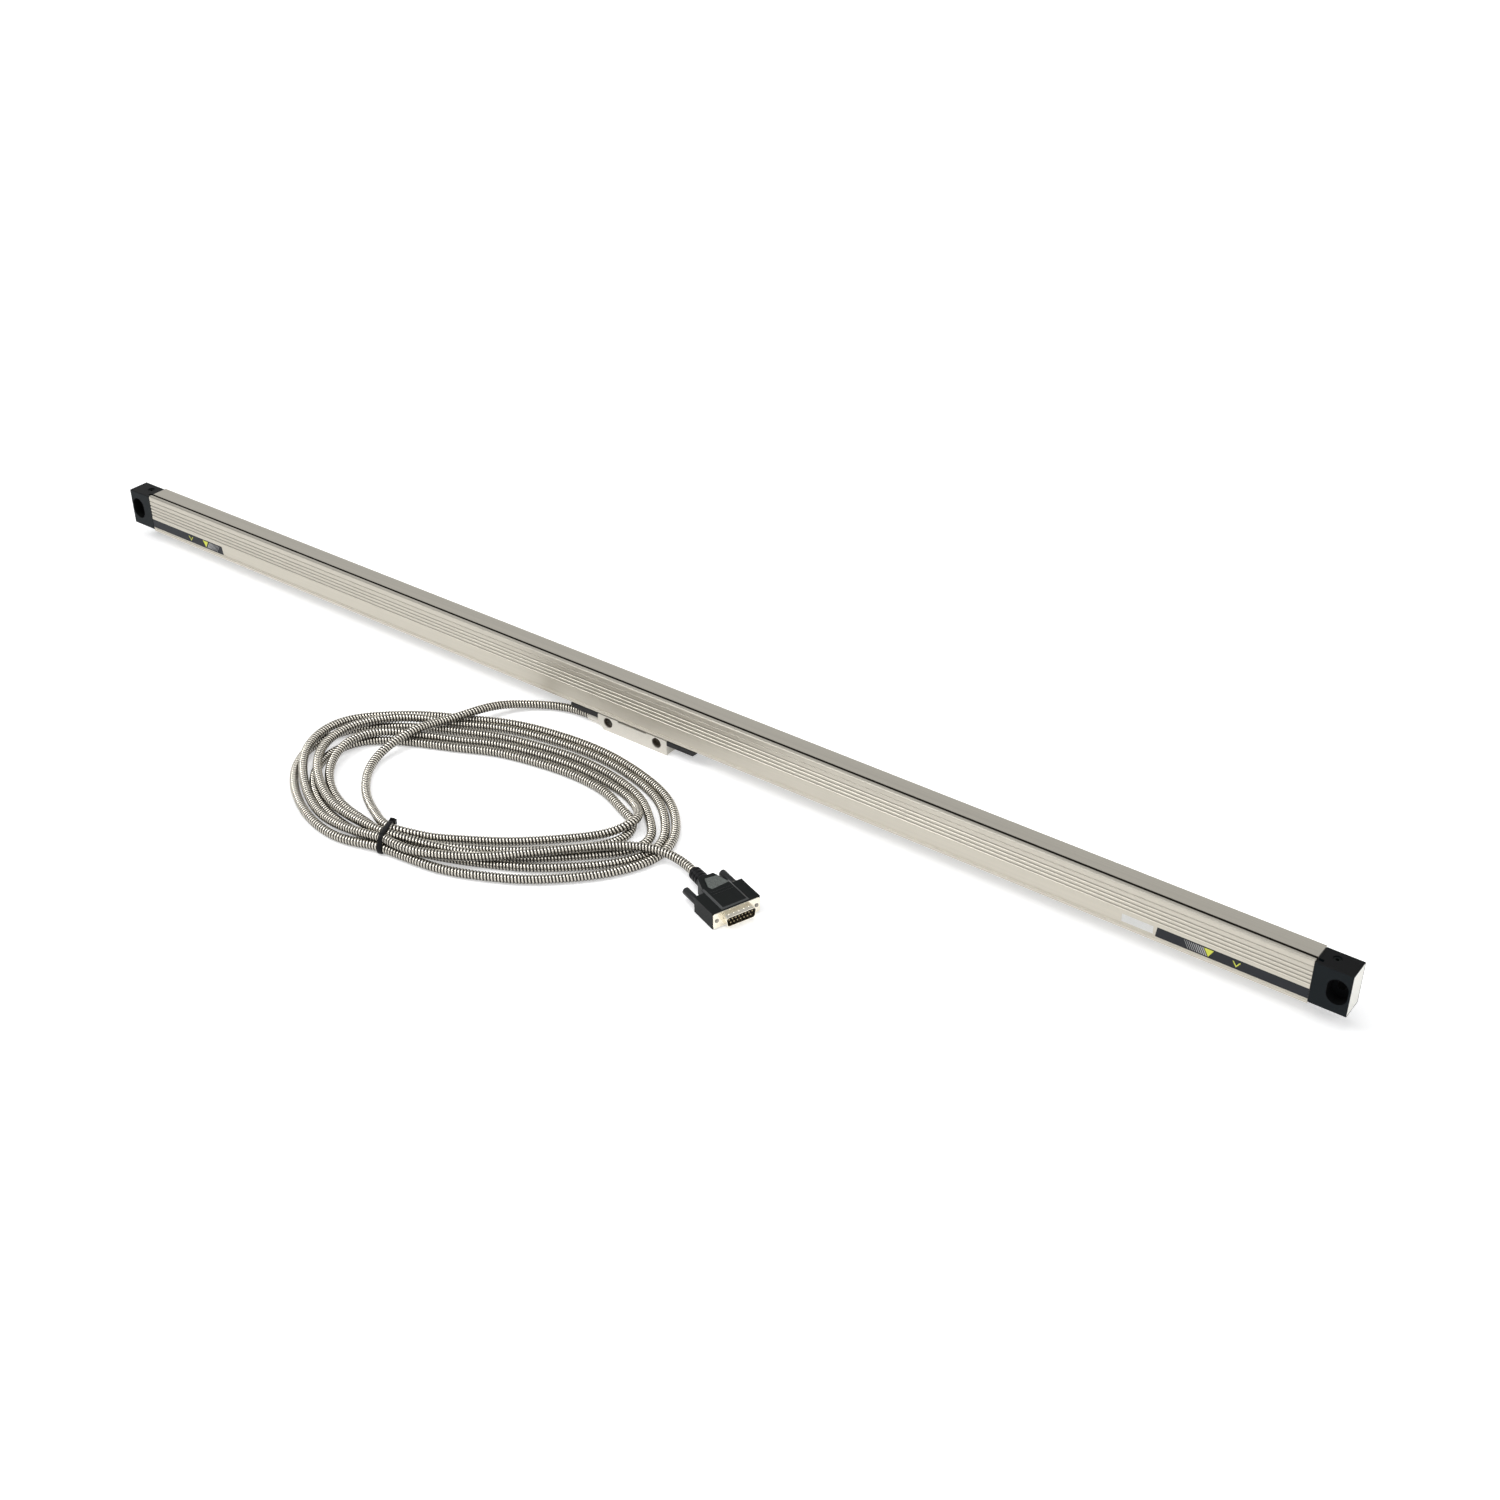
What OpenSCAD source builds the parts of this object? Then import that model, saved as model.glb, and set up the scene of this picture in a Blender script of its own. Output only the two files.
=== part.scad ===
// Sealed linear glass scale: an extruded housing with a glass scale inside, a reading head that
// slides under it, and an armoured lead that ends in a fifteen-pin plug.
// X runs along the scale, the label face looks to -Y, and Z = 0 is the floor under the head.

/* [Scale body] */
// Whole length over the end blocks
overall_l = 1208; // [900:4:1600]
// Depth of the housing from front to back
housing_d = 20.5; // [20.5:0.25:22]
// Height of the housing
housing_h = 36; // [35:0.5:40]
// Thickness of the housing's front and back walls
wall_t = 2.4; // [2:0.1:2.6]
// Height of the two legs that carry the lips
leg_h = 7; // [6.6:0.1:7.4]
// Gap between the two legs
leg_gap = 6.4; // [5.6:0.2:7]
// Thickness of the solid top of the housing
roof_t = 8.5; // [7.5:0.5:9]
// Width of the long slot in the top face
top_slot_w = 2.4; // [1.6:0.2:3]
// Depth of the long slot in the top face
top_slot_depth = 3.2; // [2:0.2:4]
// Distance of the long slot's middle from the front face
top_slot_in = 4.4; // [4:0.2:6]
// Width of one flute on the front face
flute_w = 1.7; // [1.2:0.1:2.2]
// Depth of one flute on the front face
flute_depth = 0.5; // [0.3:0.1:0.7]
// Depth of the recess that takes the printed strips
label_recess = 0.2; // [0.1:0.05:0.3]
// Height of the printed strips
label_h = 8.3; // [6:0.1:8.6]

/* [End blocks] */
// Length of one end block along the scale
end_l = 26.4; // [24:0.2:34]
// Depth of one end block from front to back
end_d = 20; // [19:0.25:20]
// Height of one end block
end_h = 34; // [32:0.5:34]
// How far the housing's top stands above the end blocks
end_drop = 0.7; // [0:0.1:1]
// Thickness of the gasket behind each end block
gasket_t = 0.6; // [0.4:0.1:1]
// Length of the tongue that fills the housing's mouth
tongue_l = 14; // [10:1:18]
// Diameter of the mounting hole
end_hole_d = 7; // [5.5:0.5:8]
// Width of the upright recess for the mounting screw's washer
end_recess_d = 14.8; // [11:0.2:15]
// Height of the upright recess
end_recess_h = 20; // [16:0.5:21]
// Depth of the recess for the mounting screw's washer
end_recess_depth = 9; // [6:0.5:12]
// Distance of the mounting hole from the outer end
end_hole_in = 8.8; // [8:0.2:10]
// Diameter of the air port in the top
port_d = 6.5; // [5:0.5:7]
// Depth of the air port in the top
port_depth = 5; // [3:0.5:6]
// Distance of the air port from the outer end
port_in = 16.2; // [15:0.2:18]
// Diameter of the screws that hold the tongue
tongue_screw_d = 3; // [2.5:0.5:3.5]

/* [Glass and lips] */
// Gap between the glass scale and the tongue at each end
glass_end_gap = 23; // [1:1:40]
// Height of the glass scale
glass_h = 16.4; // [15:0.2:17]
// Thickness of the glass scale
glass_t = 2.6; // [2:0.1:2.8]
// Distance of the glass's reading face behind the middle of the housing
glass_y = 1.5; // [1.3:0.1:1.6]
// Depth of the groove that the glass hangs in
glass_groove_h = 2; // [1.5:0.1:2.4]
// Thickness of the rubber strip that wedges the glass
wedge_t = 1; // [0.8:0.1:1.1]
// Clearance between each lip's edge and the blade
lip_gap = 0.3; // [0.2:0.05:0.4]

/* [Reading head] */
// Where the head stands along the scale
head_x = 3.5; // [-20:0.5:20]
// Length of the cast head block
head_l = 71; // [68:0.5:74]
// Height of the cast head block
head_h = 13.4; // [13.2:0.1:14]
// Gap between the head block and the housing
ride_gap = 0.8; // [0.6:0.1:1.5]
// Distance between the two mounting holes
head_pitch = 50; // [48:0.5:51]
// Diameter of the mounting holes
head_hole_d = 5.5; // [4.5:0.5:5.5]
// Diameter of the counterbores
head_recess_d = 9; // [8:0.2:9]
// Depth of the counterbores
head_recess_depth = 5; // [3:0.5:6]
// Height of the mounting holes above the base
head_hole_z = 8.1; // [7.8:0.1:8.1]
// Length of each black wiper shoe
shoe_l = 28.5; // [24:0.5:32]
// Height of each black wiper shoe
shoe_h = 4; // [3:0.2:4.2]
// Thickness of the blade that passes between the lips
blade_t = 1.6; // [1:0.1:1.8]
// Distance of the blade's points inside the head block's ends
blade_in = 2.5; // [0:0.5:5]

/* [Scanning carriage] */
// Length of the scanning carriage
carriage_l = 46; // [46:1:50]
// Diameter of each bearing roller
roller_d = 5; // [4.6:0.1:5]
// Width of each bearing roller
roller_w = 2.4; // [2:0.1:2.5]
// Diameter of each roller's axle
axle_d = 2; // [1.5:0.1:2.2]
// Running gap between the rollers and the glass
roller_gap = 0.05; // [0.02:0.01:0.1]

/* [Lead] */
// Diameter of the armoured lead
cord_d = 7; // [6:0.5:7]
// Height of the coil where its turns lie side by side
coil_h = 7.4; // [7.2:0.1:8]
// Width of the cable tie
tie_w = 3.6; // [2.5:0.1:5]
// Thickness of the cable tie
tie_t = 1.4; // [1:0.1:1.8]

/* [Plug] */
// Width of the plug's steel flange
flange_w = 39.2; // [39:0.1:40]
// Height of the plug's steel flange
flange_h = 12.5; // [12:0.1:13]
// Thickness of the plug's steel flange
flange_t = 1; // [0.6:0.1:1.4]
// Distance between the two jackscrews
jack_pitch = 33.3; // [33:0.1:33.6]
// Diameter of each jackscrew's knob
knob_d = 5.8; // [5:0.1:6]
// Length of each jackscrew's knob
knob_l = 16; // [10:0.5:18]
// Number of pins in the longer row
pin_n = 8; // [4:1:8]
// Distance between neighbouring pins
pin_pitch = 2.77; // [2.7:0.01:2.8]

/* [Hidden] */
$fn = 48;

// Housing and end blocks
lift = head_h + ride_gap;                      // underside of the housing above the floor
housing_l = overall_l - 2 * (end_l + gasket_t);
front_y = -housing_d / 2;
back_y = housing_d / 2;
room_w = housing_d - 2 * wall_t;               // inside width of the housing
room_top = housing_h - roof_t;                 // inside top above the housing's underside
corner_r = 0.6;
brow_r = 1.4;                                  // rounding of the front top edge
line_depth = 0.45;
// Heights of the flutes and lines on the front face, down from the housing's top
flute_drops = [9.5, 12.9, 16.2, 19.4];
line_drops = [5, 32.9];
line_w = 0.9;
label_drop = 23.5;
end_z = lift + housing_h - end_drop - end_h;   // underside of the end blocks
end_y = front_y;                               // the end blocks' front is flush with the housing
end_x = housing_l / 2 + gasket_t;
end_hole_z = end_z + end_h / 2 + 0.3;
port_y = end_y + 12;
notch_l = 4;                                   // the top slot runs on into the end blocks
tongue_clear = 0.15;
tongue_screw_x = housing_l / 2 - tongue_l / 2;
tongue_screw_zs = [lift + leg_h + 5, lift + room_top - 5];
screw_sink = 1.2;

// Glass, wedge and lips
glass_top = room_top + glass_groove_h;
glass_bottom = glass_top - glass_h;
glass_l = housing_l - 2 * (tongue_l + glass_end_gap);
lip_groove_w = 2.2;
lip_groove_h = 2.4;
lip_groove_z = 2.6;
lip_clear = 0.05;
lip_tip_y = blade_t / 2 + lip_gap;

// Reading head
head_front = front_y;
head_d = housing_d;
head_left = head_x - head_l / 2;
pad_l = 21;                                    // raised ends of the head block's top
pad_h = 1;
chin_w = 5.6;                                  // cut corner under the lead's neck
chin_h = 4.2;
neck_d = cord_d + 1.2;
neck_l = 11.5;
neck_bore_l = 8;
lead_y = head_front + 5;
lead_z = 5;
neck_end = head_left - neck_l;
pocket_l = 32;                                 // space for the amplifier board
pocket_depth = 6.5;
pocket_z = 1.6;
pocket_h = 7;
cover_l = pocket_l + 6;
cover_t = 1.2;
cover_h = pocket_h + 2.6;
cover_screw_x = pocket_l / 2 + 1.5;
foot_l = 34;                                   // part of the blade that stands in the head block
foot_depth = 3.4;
blade_top = lift + leg_h + 0.3;
blade_l = head_l - 2 * blade_in;
blade_tip = 6;
blade_edge = 0.5;
post_w = 4;                                    // post at the blade's end that drives the carriage
post_top = lift + 16;
blade_clear = 0.05;
shoe_top = head_h;
shoe_z = shoe_top - shoe_h;
shoe_nose = 2.5;
shoe_screw_d = 2.5;
shoe_screw_l = 22;

// Carriage, rollers and optics, with heights above the housing's underside
plate_t = 3;
plate_y = -room_w / 2 + 0.9;                   // front of the carriage's plate
plate_z = leg_h + 1;
plate_h = room_top - plate_z - 0.8;
roller_r = roller_d / 2;
face_y = glass_y - roller_r - roller_gap;      // axis of the rollers on the reading face
edge_z = glass_bottom - roller_r - roller_gap; // axis of the rollers under the glass
edge_y = glass_y + glass_t / 2;
side_x = 18.5;
face_z = glass_bottom + 3.4;                   // height of the lower face rollers
crown_z = room_top - 2.7;                      // height of the upper face roller
axle_clear = 0.03;
ear_t = 1;
bridge_l = 18;
bridge_z = leg_h + 0.9;
bridge_top = glass_bottom - 0.6;
arm_y = glass_y + glass_t + 0.6;
arm_t = 1.9;
arm_top = glass_bottom + 9.5;
board_t = 0.8;
lens_d = 4;
lens_t = 1.4;
optic_z = glass_bottom + 4.8;
pedestal_h = 7;
reticle_t = 0.9;
reticle_gap = 0.4;

// Plug, with x towards the mating side, measured from the flange's front face
plug_pos = [211, -148, 0];
plug_turn = -20.7;
plug_z = 7.3;
hood_w = flange_w + 0.8;
hood_h = 13.4;
hood_l = 24;
hood_wall = 3;                                 // wall between the hood's room and its neck
crown_w = 23;
crown_rise = 0.9;
crown_bevel = 1.6;
neck_hood_l = 17;
boot_l = 15;
boot_d = 11;
shell_out = 5.9;
shell_w = 25;
shell_h = 8.4;
shell_t = 0.5;
d_corner_r = 2.2;                              // round corners and lean of the D-shaped shell
d_lean = 10;
d_steps = 4;
pin_d = 1;
jack_d = 2.8;
jack_clear = 0.06;
jack_tip = 0.4;                                // how far a loose jackscrew's tip stands proud
jack_neck_left = 0.8;                          // bare shank between the hood and each knob
jack_neck_right = 4.6;
plug_tail = -flange_t - hood_l - neck_hood_l - boot_l;

function at_plug(x) =
  [plug_pos.x + x * cos(plug_turn), plug_pos.y + x * sin(plug_turn), plug_z];

// The lead's free stretches: points chosen along its route, from the head and to the plug
head_route = [
  [neck_end + neck_bore_l, lead_y, lead_z], [neck_end, lead_y, lead_z], [-57, -5.6, 4.6],
  [-74, -9, 4.2], [-88, -17, 4.4], [-101, -28, 5.5], [-110, -42, 8.5], [-116, -60, 11],
  [-122, -77, 11], [-128, -91, 11], [-133, -104, 11], [-137, -120, 11], [-139, -135, 9.5],
  [-140, -150, 6.5], [-134, -168, 4], [-124, -181, 3.6], [-110, -195, 4], [-95, -204.5, 5.5],
  [-79, -213, 8]
];
plug_route = [
  [-34, -236, 11], [-10, -228, 11], [8, -219, 11], [25, -207.5, 11], [40, -193.5, 11],
  [54, -179, 11], [68, -164.5, 11], [82, -150.5, 11], [97, -138, 11], [112, -129, 10.8],
  [126, -124.5, 10], [138, -123, 8.6], at_plug(plug_tail - 8), at_plug(plug_tail),
  at_plug(-flange_t - hood_l + hood_wall)
];
// Middle lines of the coil's innermost and outermost turns, counted from the tie
coil_inner = [
  [-57, -222], [-25, -203], [13, -180], [37, -161], [68, -132], [84, -118], [84, -101], [67, -98],
  [50, -88], [29, -81.5], [-12, -80], [-67, -90], [-100, -105], [-133, -124], [-157, -142],
  [-163, -166], [-148, -193], [-116, -212], [-84, -218]
];
coil_outer = [
  [-50, -238.5], [2, -231], [45, -213], [70, -197], [101, -167], [117, -140], [121, -118], [112, -92],
  [81, -62], [30, -45], [-20, -41], [-80, -50], [-125, -70], [-165, -92], [-197, -135],
  [-196, -178], [-172, -212], [-130, -239], [-88, -247]
];
coil_edge = cord_d / 2 + 0.4;                  // edge of the coil beyond its turns' middle lines
tie_pos = [-53.5, -230, 0];
tie_turn = 22;
bundle_w = 24.6;                               // the six passes in the tie
bundle_h = 14.5;
bundle_l = 56;
cross_pos = [86, -107, 0];                     // where the first turn climbs over the second
cross_w = 40;
cross_h = 14.2;
lock_l = 3.4;                                  // head of the cable tie
lock_h = 5.5;

// Small helpers
function mod(i, n) = (i % n + n) % n;
function blend(a, b, c, d, t) =
  0.5 * (2 * b + (c - a) * t + (2 * a - 5 * b + 4 * c - d) * t * t
    + (3 * b - a - 3 * c + d) * t * t * t);
function loop_curve(p, steps) = [
  for (i = [0 : len(p) - 1]) for (s = [0 : steps - 1])
    blend(p[mod(i - 1, len(p))], p[i], p[mod(i + 1, len(p))], p[mod(i + 2, len(p))], s / steps)
];
function unit(v) = v / norm(v);
// Closed list of points moved sideways by a distance, to the left of the way round
function beside(p, d) = [
  for (i = [0 : len(p) - 1])
    let (t = unit(p[mod(i + 1, len(p))] - p[mod(i - 1, len(p))])) p[i] + d * [-t.y, t.x]
];
function way(p, i) = unit(p[min(i + 1, len(p) - 1)] - p[max(i - 1, 0)]);
function ring(c, t, r, n) =
  let (a = unit(cross([0, 0, 1], t)), b = cross(t, a))
  [for (k = [0 : n - 1]) c + r * (cos(360 * k / n) * a + sin(360 * k / n) * b)];

// A closed tube of n sides along the points p
module tube(p, r, n = 10) {
  rings = [for (i = [0 : len(p) - 1]) each ring(p[i], way(p, i), r, n)];
  last = (len(p) - 1) * n;
  sides = [
    for (i = [0 : len(p) - 2]) for (k = [0 : n - 1])
      [i * n + k, i * n + (k + 1) % n, (i + 1) * n + (k + 1) % n, (i + 1) * n + k]
  ];
  ends = [[for (k = [n - 1 : -1 : 0]) k], [for (k = [0 : n - 1]) last + k]];
  polyhedron(rings, concat(sides, ends));
}

// Draws a YZ outline and sweeps it along X, centred on X = 0
module along_x(l) rotate([90, 0, 90]) linear_extrude(l, center = true) children();

// Round bar along X, Y or Z, from a given point towards plus
module rod_x(d, l) rotate([0, 90, 0]) cylinder(h = l, d = d);
module rod_y(d, l) rotate([-90, 0, 0]) cylinder(h = l, d = d);

// Round-ended upright slot cut along Y from a given point
module upright_slot(p, w, h, depth) translate(p) {
  side = (h - w) / 2;
  for (s = [-1, 1]) translate([0, 0, s * side]) rod_y(w, depth);
  box_at([-w / 2, 0, -side], [w, depth, 2 * side]);
}

// Box given by its low corner and size
module box_at(p, s) translate(p) cube(s);

module in_plug() translate(plug_pos) rotate([0, 0, plug_turn]) children();

// Rectangle with its low corner at the origin, one radius per corner, counted from low left
module round_rect(w, h, radii) {
  spots = [[0, 0], [w, 0], [w, h], [0, h]];
  difference() {
    square([w, h]);
    for (i = [0 : 3]) {
      r = radii[i];
      sx = spots[i][0] == 0 ? 1 : -1;
      sy = spots[i][1] == 0 ? 1 : -1;
      translate(spots[i]) difference() {
        translate([sx > 0 ? -1 : -r, sy > 0 ? -1 : -r]) square([r + 1, r + 1]);
        translate([sx * r, sy * r]) circle(r);
      }
    }
  }
}

// Cross-section of the housing, with its underside at 0
module housing_outline() {
  difference() {
    translate([front_y, 0]) round_rect(housing_d, housing_h, [corner_r, corner_r, corner_r, brow_r]);
    translate([-room_w / 2, leg_h]) square([room_w, room_top - leg_h]);
    translate([-leg_gap / 2, -1]) square([leg_gap, leg_h + 2]);
    for (s = [0, 1]) mirror([s, 0])
      translate([leg_gap / 2 - 1, lip_groove_z]) square([lip_groove_w + 1, lip_groove_h]);
    translate([front_y + top_slot_in - top_slot_w / 2, housing_h - top_slot_depth])
      square([top_slot_w, top_slot_depth + 1]);
    translate([glass_y - wedge_t, room_top - 1])
      square([wedge_t + glass_t, glass_groove_h + 1]);
    for (drop = flute_drops)
      flute(housing_h - drop, flute_w, flute_depth);
    for (drop = line_drops)
      flute(housing_h - drop, line_w, line_depth);
    translate([front_y - 1, housing_h - label_drop - label_h]) square([1 + label_recess, label_h]);
  }
}

// Round-bottomed groove in the front face at height z
module flute(z, w, depth) {
  r = (w * w / 4 + depth * depth) / (2 * depth);
  translate([front_y + depth - r, z]) circle(r);
}

module scale_housing() color([0.78, 0.75, 0.7]) {
  difference() {
    translate([0, 0, lift]) along_x(housing_l) housing_outline();
    for (s = [-1, 1]) for (z = tongue_screw_zs)
      translate([s * tongue_screw_x, back_y - wall_t - 1, z]) {
        rod_y(tongue_screw_d + 0.3, wall_t + 2);
        translate([0, wall_t + 1 - screw_sink, 0]) rod_y(tongue_screw_d + 2.4, screw_sink + 1);
      }
  }
}

// One end block at the right-hand end
module end_block() color([0.13, 0.14, 0.14]) {
  tongue_w = room_w - 2 * tongue_clear;
  tongue_h = room_top - leg_h - 2 * tongue_clear;
  hole_x = overall_l / 2 - end_hole_in;
  difference() {
    union() {
      translate([end_x + end_l / 2, 0, end_z]) along_x(end_l)
        translate([end_y, 0]) round_rect(end_d, end_h, [0.8, 0.8, 0.8, 0.8]);
      box_at([end_x - gasket_t - tongue_l, -tongue_w / 2, lift + leg_h + tongue_clear],
        [tongue_l + gasket_t + 1, tongue_w, tongue_h]);
    }
    upright_slot([hole_x, end_y - 1, end_hole_z], end_recess_d, end_recess_h, end_recess_depth + 1);
    translate([hole_x, end_y, end_hole_z]) rod_y(end_hole_d, end_d + 1);
    translate([overall_l / 2 - port_in, port_y, end_z + end_h - port_depth])
      cylinder(h = port_depth + 1, d = port_d);
    box_at([end_x - 1, end_y + top_slot_in - top_slot_w / 2, end_z + end_h - top_slot_depth],
      [notch_l + 1, top_slot_w, top_slot_depth + 1]);
    // clearance for the glass's groove and the screw ends
    for (z = tongue_screw_zs)
      translate([tongue_screw_x, room_w / 2 - 7, z]) rod_y(tongue_screw_d, 8);
  }
}

module end_block_right() end_block();
module end_block_left() mirror([1, 0, 0]) end_block();

// One gasket between the housing and an end block, open round the tongue
module end_gasket() color([0.05, 0.05, 0.05])
  translate([housing_l / 2 + gasket_t / 2, 0, end_z]) along_x(gasket_t) difference() {
    translate([end_y + 0.3, 0.3]) round_rect(end_d - 0.6, end_h - 0.6, [0.5, 0.5, 0.5, 0.5]);
    translate([-room_w / 2, lift + leg_h - end_z]) square([room_w, room_top - leg_h]);
    translate([end_y + top_slot_in - top_slot_w / 2, end_h - top_slot_depth])
      square([top_slot_w, top_slot_depth]);
  }
module end_gasket_right() end_gasket();
module end_gasket_left() mirror([1, 0, 0]) end_gasket();

module tongue_screws() color([0.55, 0.55, 0.55])
  for (s = [-1, 1]) for (z = tongue_screw_zs)
    translate([s * tongue_screw_x, 0, z]) difference() {
      union() {
        translate([0, room_w / 2 - 6.8, 0]) rod_y(tongue_screw_d, 6.8 + wall_t - screw_sink);
        translate([0, back_y - screw_sink, 0]) rod_y(tongue_screw_d + 2, screw_sink - 0.1);
      }
      translate([0, back_y - 0.8, 0]) rotate([-90, 0, 0]) cylinder(h = 2, d = 1.8, $fn = 6);
    }

module air_port_plugs() color([0.08, 0.08, 0.08])
  for (s = [-1, 1])
    translate([s * (overall_l / 2 - port_in), port_y, end_z + end_h - port_depth]) difference() {
      cylinder(h = port_depth - 0.8, d = port_d - 0.1);
      translate([0, 0, port_depth - 3.2]) cylinder(h = 3, d = 3, $fn = 6);
    }

// Outline of the lip on the back leg; the front one is its mirror image
module lip_outline() {
  root = leg_gap / 2;
  polygon([
    [root + lip_groove_w - lip_clear, lip_groove_z + lip_clear],
    [root + lip_groove_w - lip_clear, lip_groove_z + lip_groove_h - lip_clear],
    [root - 0.2, lip_groove_z + lip_groove_h - lip_clear],
    [lip_tip_y, lip_groove_z + 4],
    [lip_tip_y, lip_groove_z + 3.4],
    [root - 0.2, lip_groove_z + lip_clear]
  ]);
}
module back_lip() color([0.07, 0.07, 0.07])
  translate([0, 0, lift]) along_x(housing_l) lip_outline();
module front_lip() color([0.07, 0.07, 0.07])
  translate([0, 0, lift]) along_x(housing_l) mirror([1, 0]) lip_outline();

module glass_scale() color([0.75, 0.85, 0.85, 0.6])
  box_at([-glass_l / 2, glass_y, lift + glass_bottom], [glass_l, glass_t, glass_h]);

module glass_wedge_strip() color([0.1, 0.1, 0.1])
  box_at([-glass_l / 2, glass_y - wedge_t, lift + room_top], [glass_l, wedge_t, glass_groove_h]);

// Head block: two counterbored holes, raised pads, a cut corner and the neck for the lead
module head_block() color([0.8, 0.8, 0.78]) {
  pad_drop = head_h - pad_h;
  difference() {
    union() {
      translate([head_x, 0, 0]) rotate([90, 0, 0])
        linear_extrude(head_d, center = true) head_side_outline(pad_drop);
      translate([neck_end, lead_y, lead_z]) rod_x(neck_d, neck_l + chin_w + 2);
    }
    translate([neck_end - 1, lead_y, lead_z]) rod_x(cord_d + 0.2, neck_bore_l + 1);
    translate([neck_end, lead_y, lead_z]) rod_x(4, neck_l + 20);
    for (s = [-1, 1]) translate([head_x + s * head_pitch / 2, head_front, head_hole_z]) {
      translate([0, -1, 0]) rod_y(head_recess_d, head_recess_depth + 1);
      rod_y(head_hole_d, head_d + 1);
    }
    // slot for the blade's foot
    box_at([head_x - foot_l / 2 - blade_clear, -blade_t / 2 - blade_clear, head_h - pad_h - foot_depth],
      [foot_l + 2 * blade_clear, blade_t + 2 * blade_clear, foot_depth + pad_h + 1]);
    // pocket and seat for the rear cover
    box_at([head_x - pocket_l / 2, back_y - cover_t - pocket_depth, pocket_z],
      [pocket_l, pocket_depth + cover_t + 1, pocket_h]);
    box_at([head_x - cover_l / 2 - 0.1, back_y - cover_t, pocket_z - 1.4],
      [cover_l + 0.2, cover_t + 1, cover_h + 0.2]);
    for (s = [-1, 1])
      translate([head_x + s * cover_screw_x, back_y - cover_t - 4, pocket_z + pocket_h / 2])
        rod_y(1.6, 5);
    // shoe screws and the lead's clamp screw
    for (s = [-1, 1]) translate([head_x + s * (head_l / 2 + 1), 4, shoe_z + shoe_h / 2])
      rotate([0, -s * 90, 0]) cylinder(h = 7, d = shoe_screw_d);
    translate([neck_end + 4, lead_y, lead_z]) rod_y(2.5, neck_d);
  }
}

// Side view of the head block, centred on its length, with its base at 0
module head_side_outline(pad_drop) {
  l = head_l / 2;
  difference() {
    translate([-l, 0]) round_rect(head_l, head_h, [0.5, 0.8, 0.5, 0.5]);
    translate([-l + pad_l, pad_drop]) square([head_l - 2 * pad_l, pad_h + 1]);
    // hollow curve under the neck
    translate([-l, 0]) polygon([[-1, -1], [chin_w, -1], [chin_w, 0],
      [chin_w * 0.8, chin_h * 0.4], [chin_w * 0.45, chin_h * 0.8], [0, chin_h], [-1, chin_h]]);
  }
}

module head_rear_cover() color([0.72, 0.72, 0.7]) difference() {
  box_at([head_x - cover_l / 2, back_y - cover_t, pocket_z - 1.3], [cover_l, cover_t, cover_h]);
  for (s = [-1, 1])
    translate([head_x + s * cover_screw_x, back_y - cover_t - 1, pocket_z + pocket_h / 2])
      rod_y(2, cover_t + 2);
  for (s = [-1, 1])
    translate([head_x + s * cover_screw_x, back_y - 0.7, pocket_z + pocket_h / 2]) rod_y(3.4, 1);
}

module head_cover_screws() color([0.6, 0.6, 0.6])
  for (s = [-1, 1])
    translate([head_x + s * cover_screw_x, 0, pocket_z + pocket_h / 2]) difference() {
      union() {
        translate([0, back_y - cover_t - 3, 0]) rod_y(1.6, 3 + cover_t - 0.6);
        translate([0, back_y - 0.7, 0]) rod_y(3.2, 0.6);
      }
      translate([0, back_y - 0.4, 0]) rod_y(0.9, 1);
    }

module head_board() color([0.1, 0.35, 0.2])
  box_at([head_x - pocket_l / 2 + 1, back_y - cover_t - pocket_depth, pocket_z + 0.5],
    [pocket_l - 2, 1.2, pocket_h - 1]);

module lead_clamp_screw() color([0.5, 0.5, 0.5])
  translate([neck_end + 4, lead_y + cord_d / 2 + 0.03, lead_z]) difference() {
    rod_y(2.4, 1);
    translate([0, 0.4, 0]) rotate([-90, 0, 0]) cylinder(h = 2, d = 1.2, $fn = 6);
  }

// One wiper shoe at the right-hand end of the head block, with a nose that sheds chips
module wiper_shoe() color([0.06, 0.06, 0.06]) difference() {
  translate([head_l / 2, 0, 0]) rotate([90, 0, 0]) linear_extrude(head_d, center = true) polygon([
    [0, shoe_z], [shoe_l - shoe_nose, shoe_z], [shoe_l, shoe_z + shoe_nose * 0.9],
    [shoe_l, shoe_top], [0, shoe_top]
  ]);
  // groove that clears the lips and the blade
  box_at([head_l / 2 - 1, -leg_gap / 2, shoe_top - 1], [shoe_l + 2, leg_gap, 2]);
  translate([head_l / 2 - 1, 4, shoe_z + shoe_h / 2]) rod_x(shoe_screw_d + 0.2, shoe_l + 2);
  translate([head_l / 2 + 6, 4, shoe_z + shoe_h / 2]) rod_x(shoe_screw_d + 0.3, shoe_l);
}
module wiper_shoe_right() translate([head_x, 0, 0]) wiper_shoe();
module wiper_shoe_left() translate([head_x, 0, 0]) mirror([1, 0, 0]) wiper_shoe();

module shoe_screws() color([0.5, 0.5, 0.5])
  for (s = [-1, 1])
    translate([head_x + s * (head_l / 2 - 4.5), 4, shoe_z + shoe_h / 2])
      rotate([0, s * 90, 0]) difference() {
        cylinder(h = shoe_screw_l, d = shoe_screw_d - 0.1);
        translate([0, 0, shoe_screw_l - 1]) cylinder(h = 2, d = 1.3, $fn = 6);
      }

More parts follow.
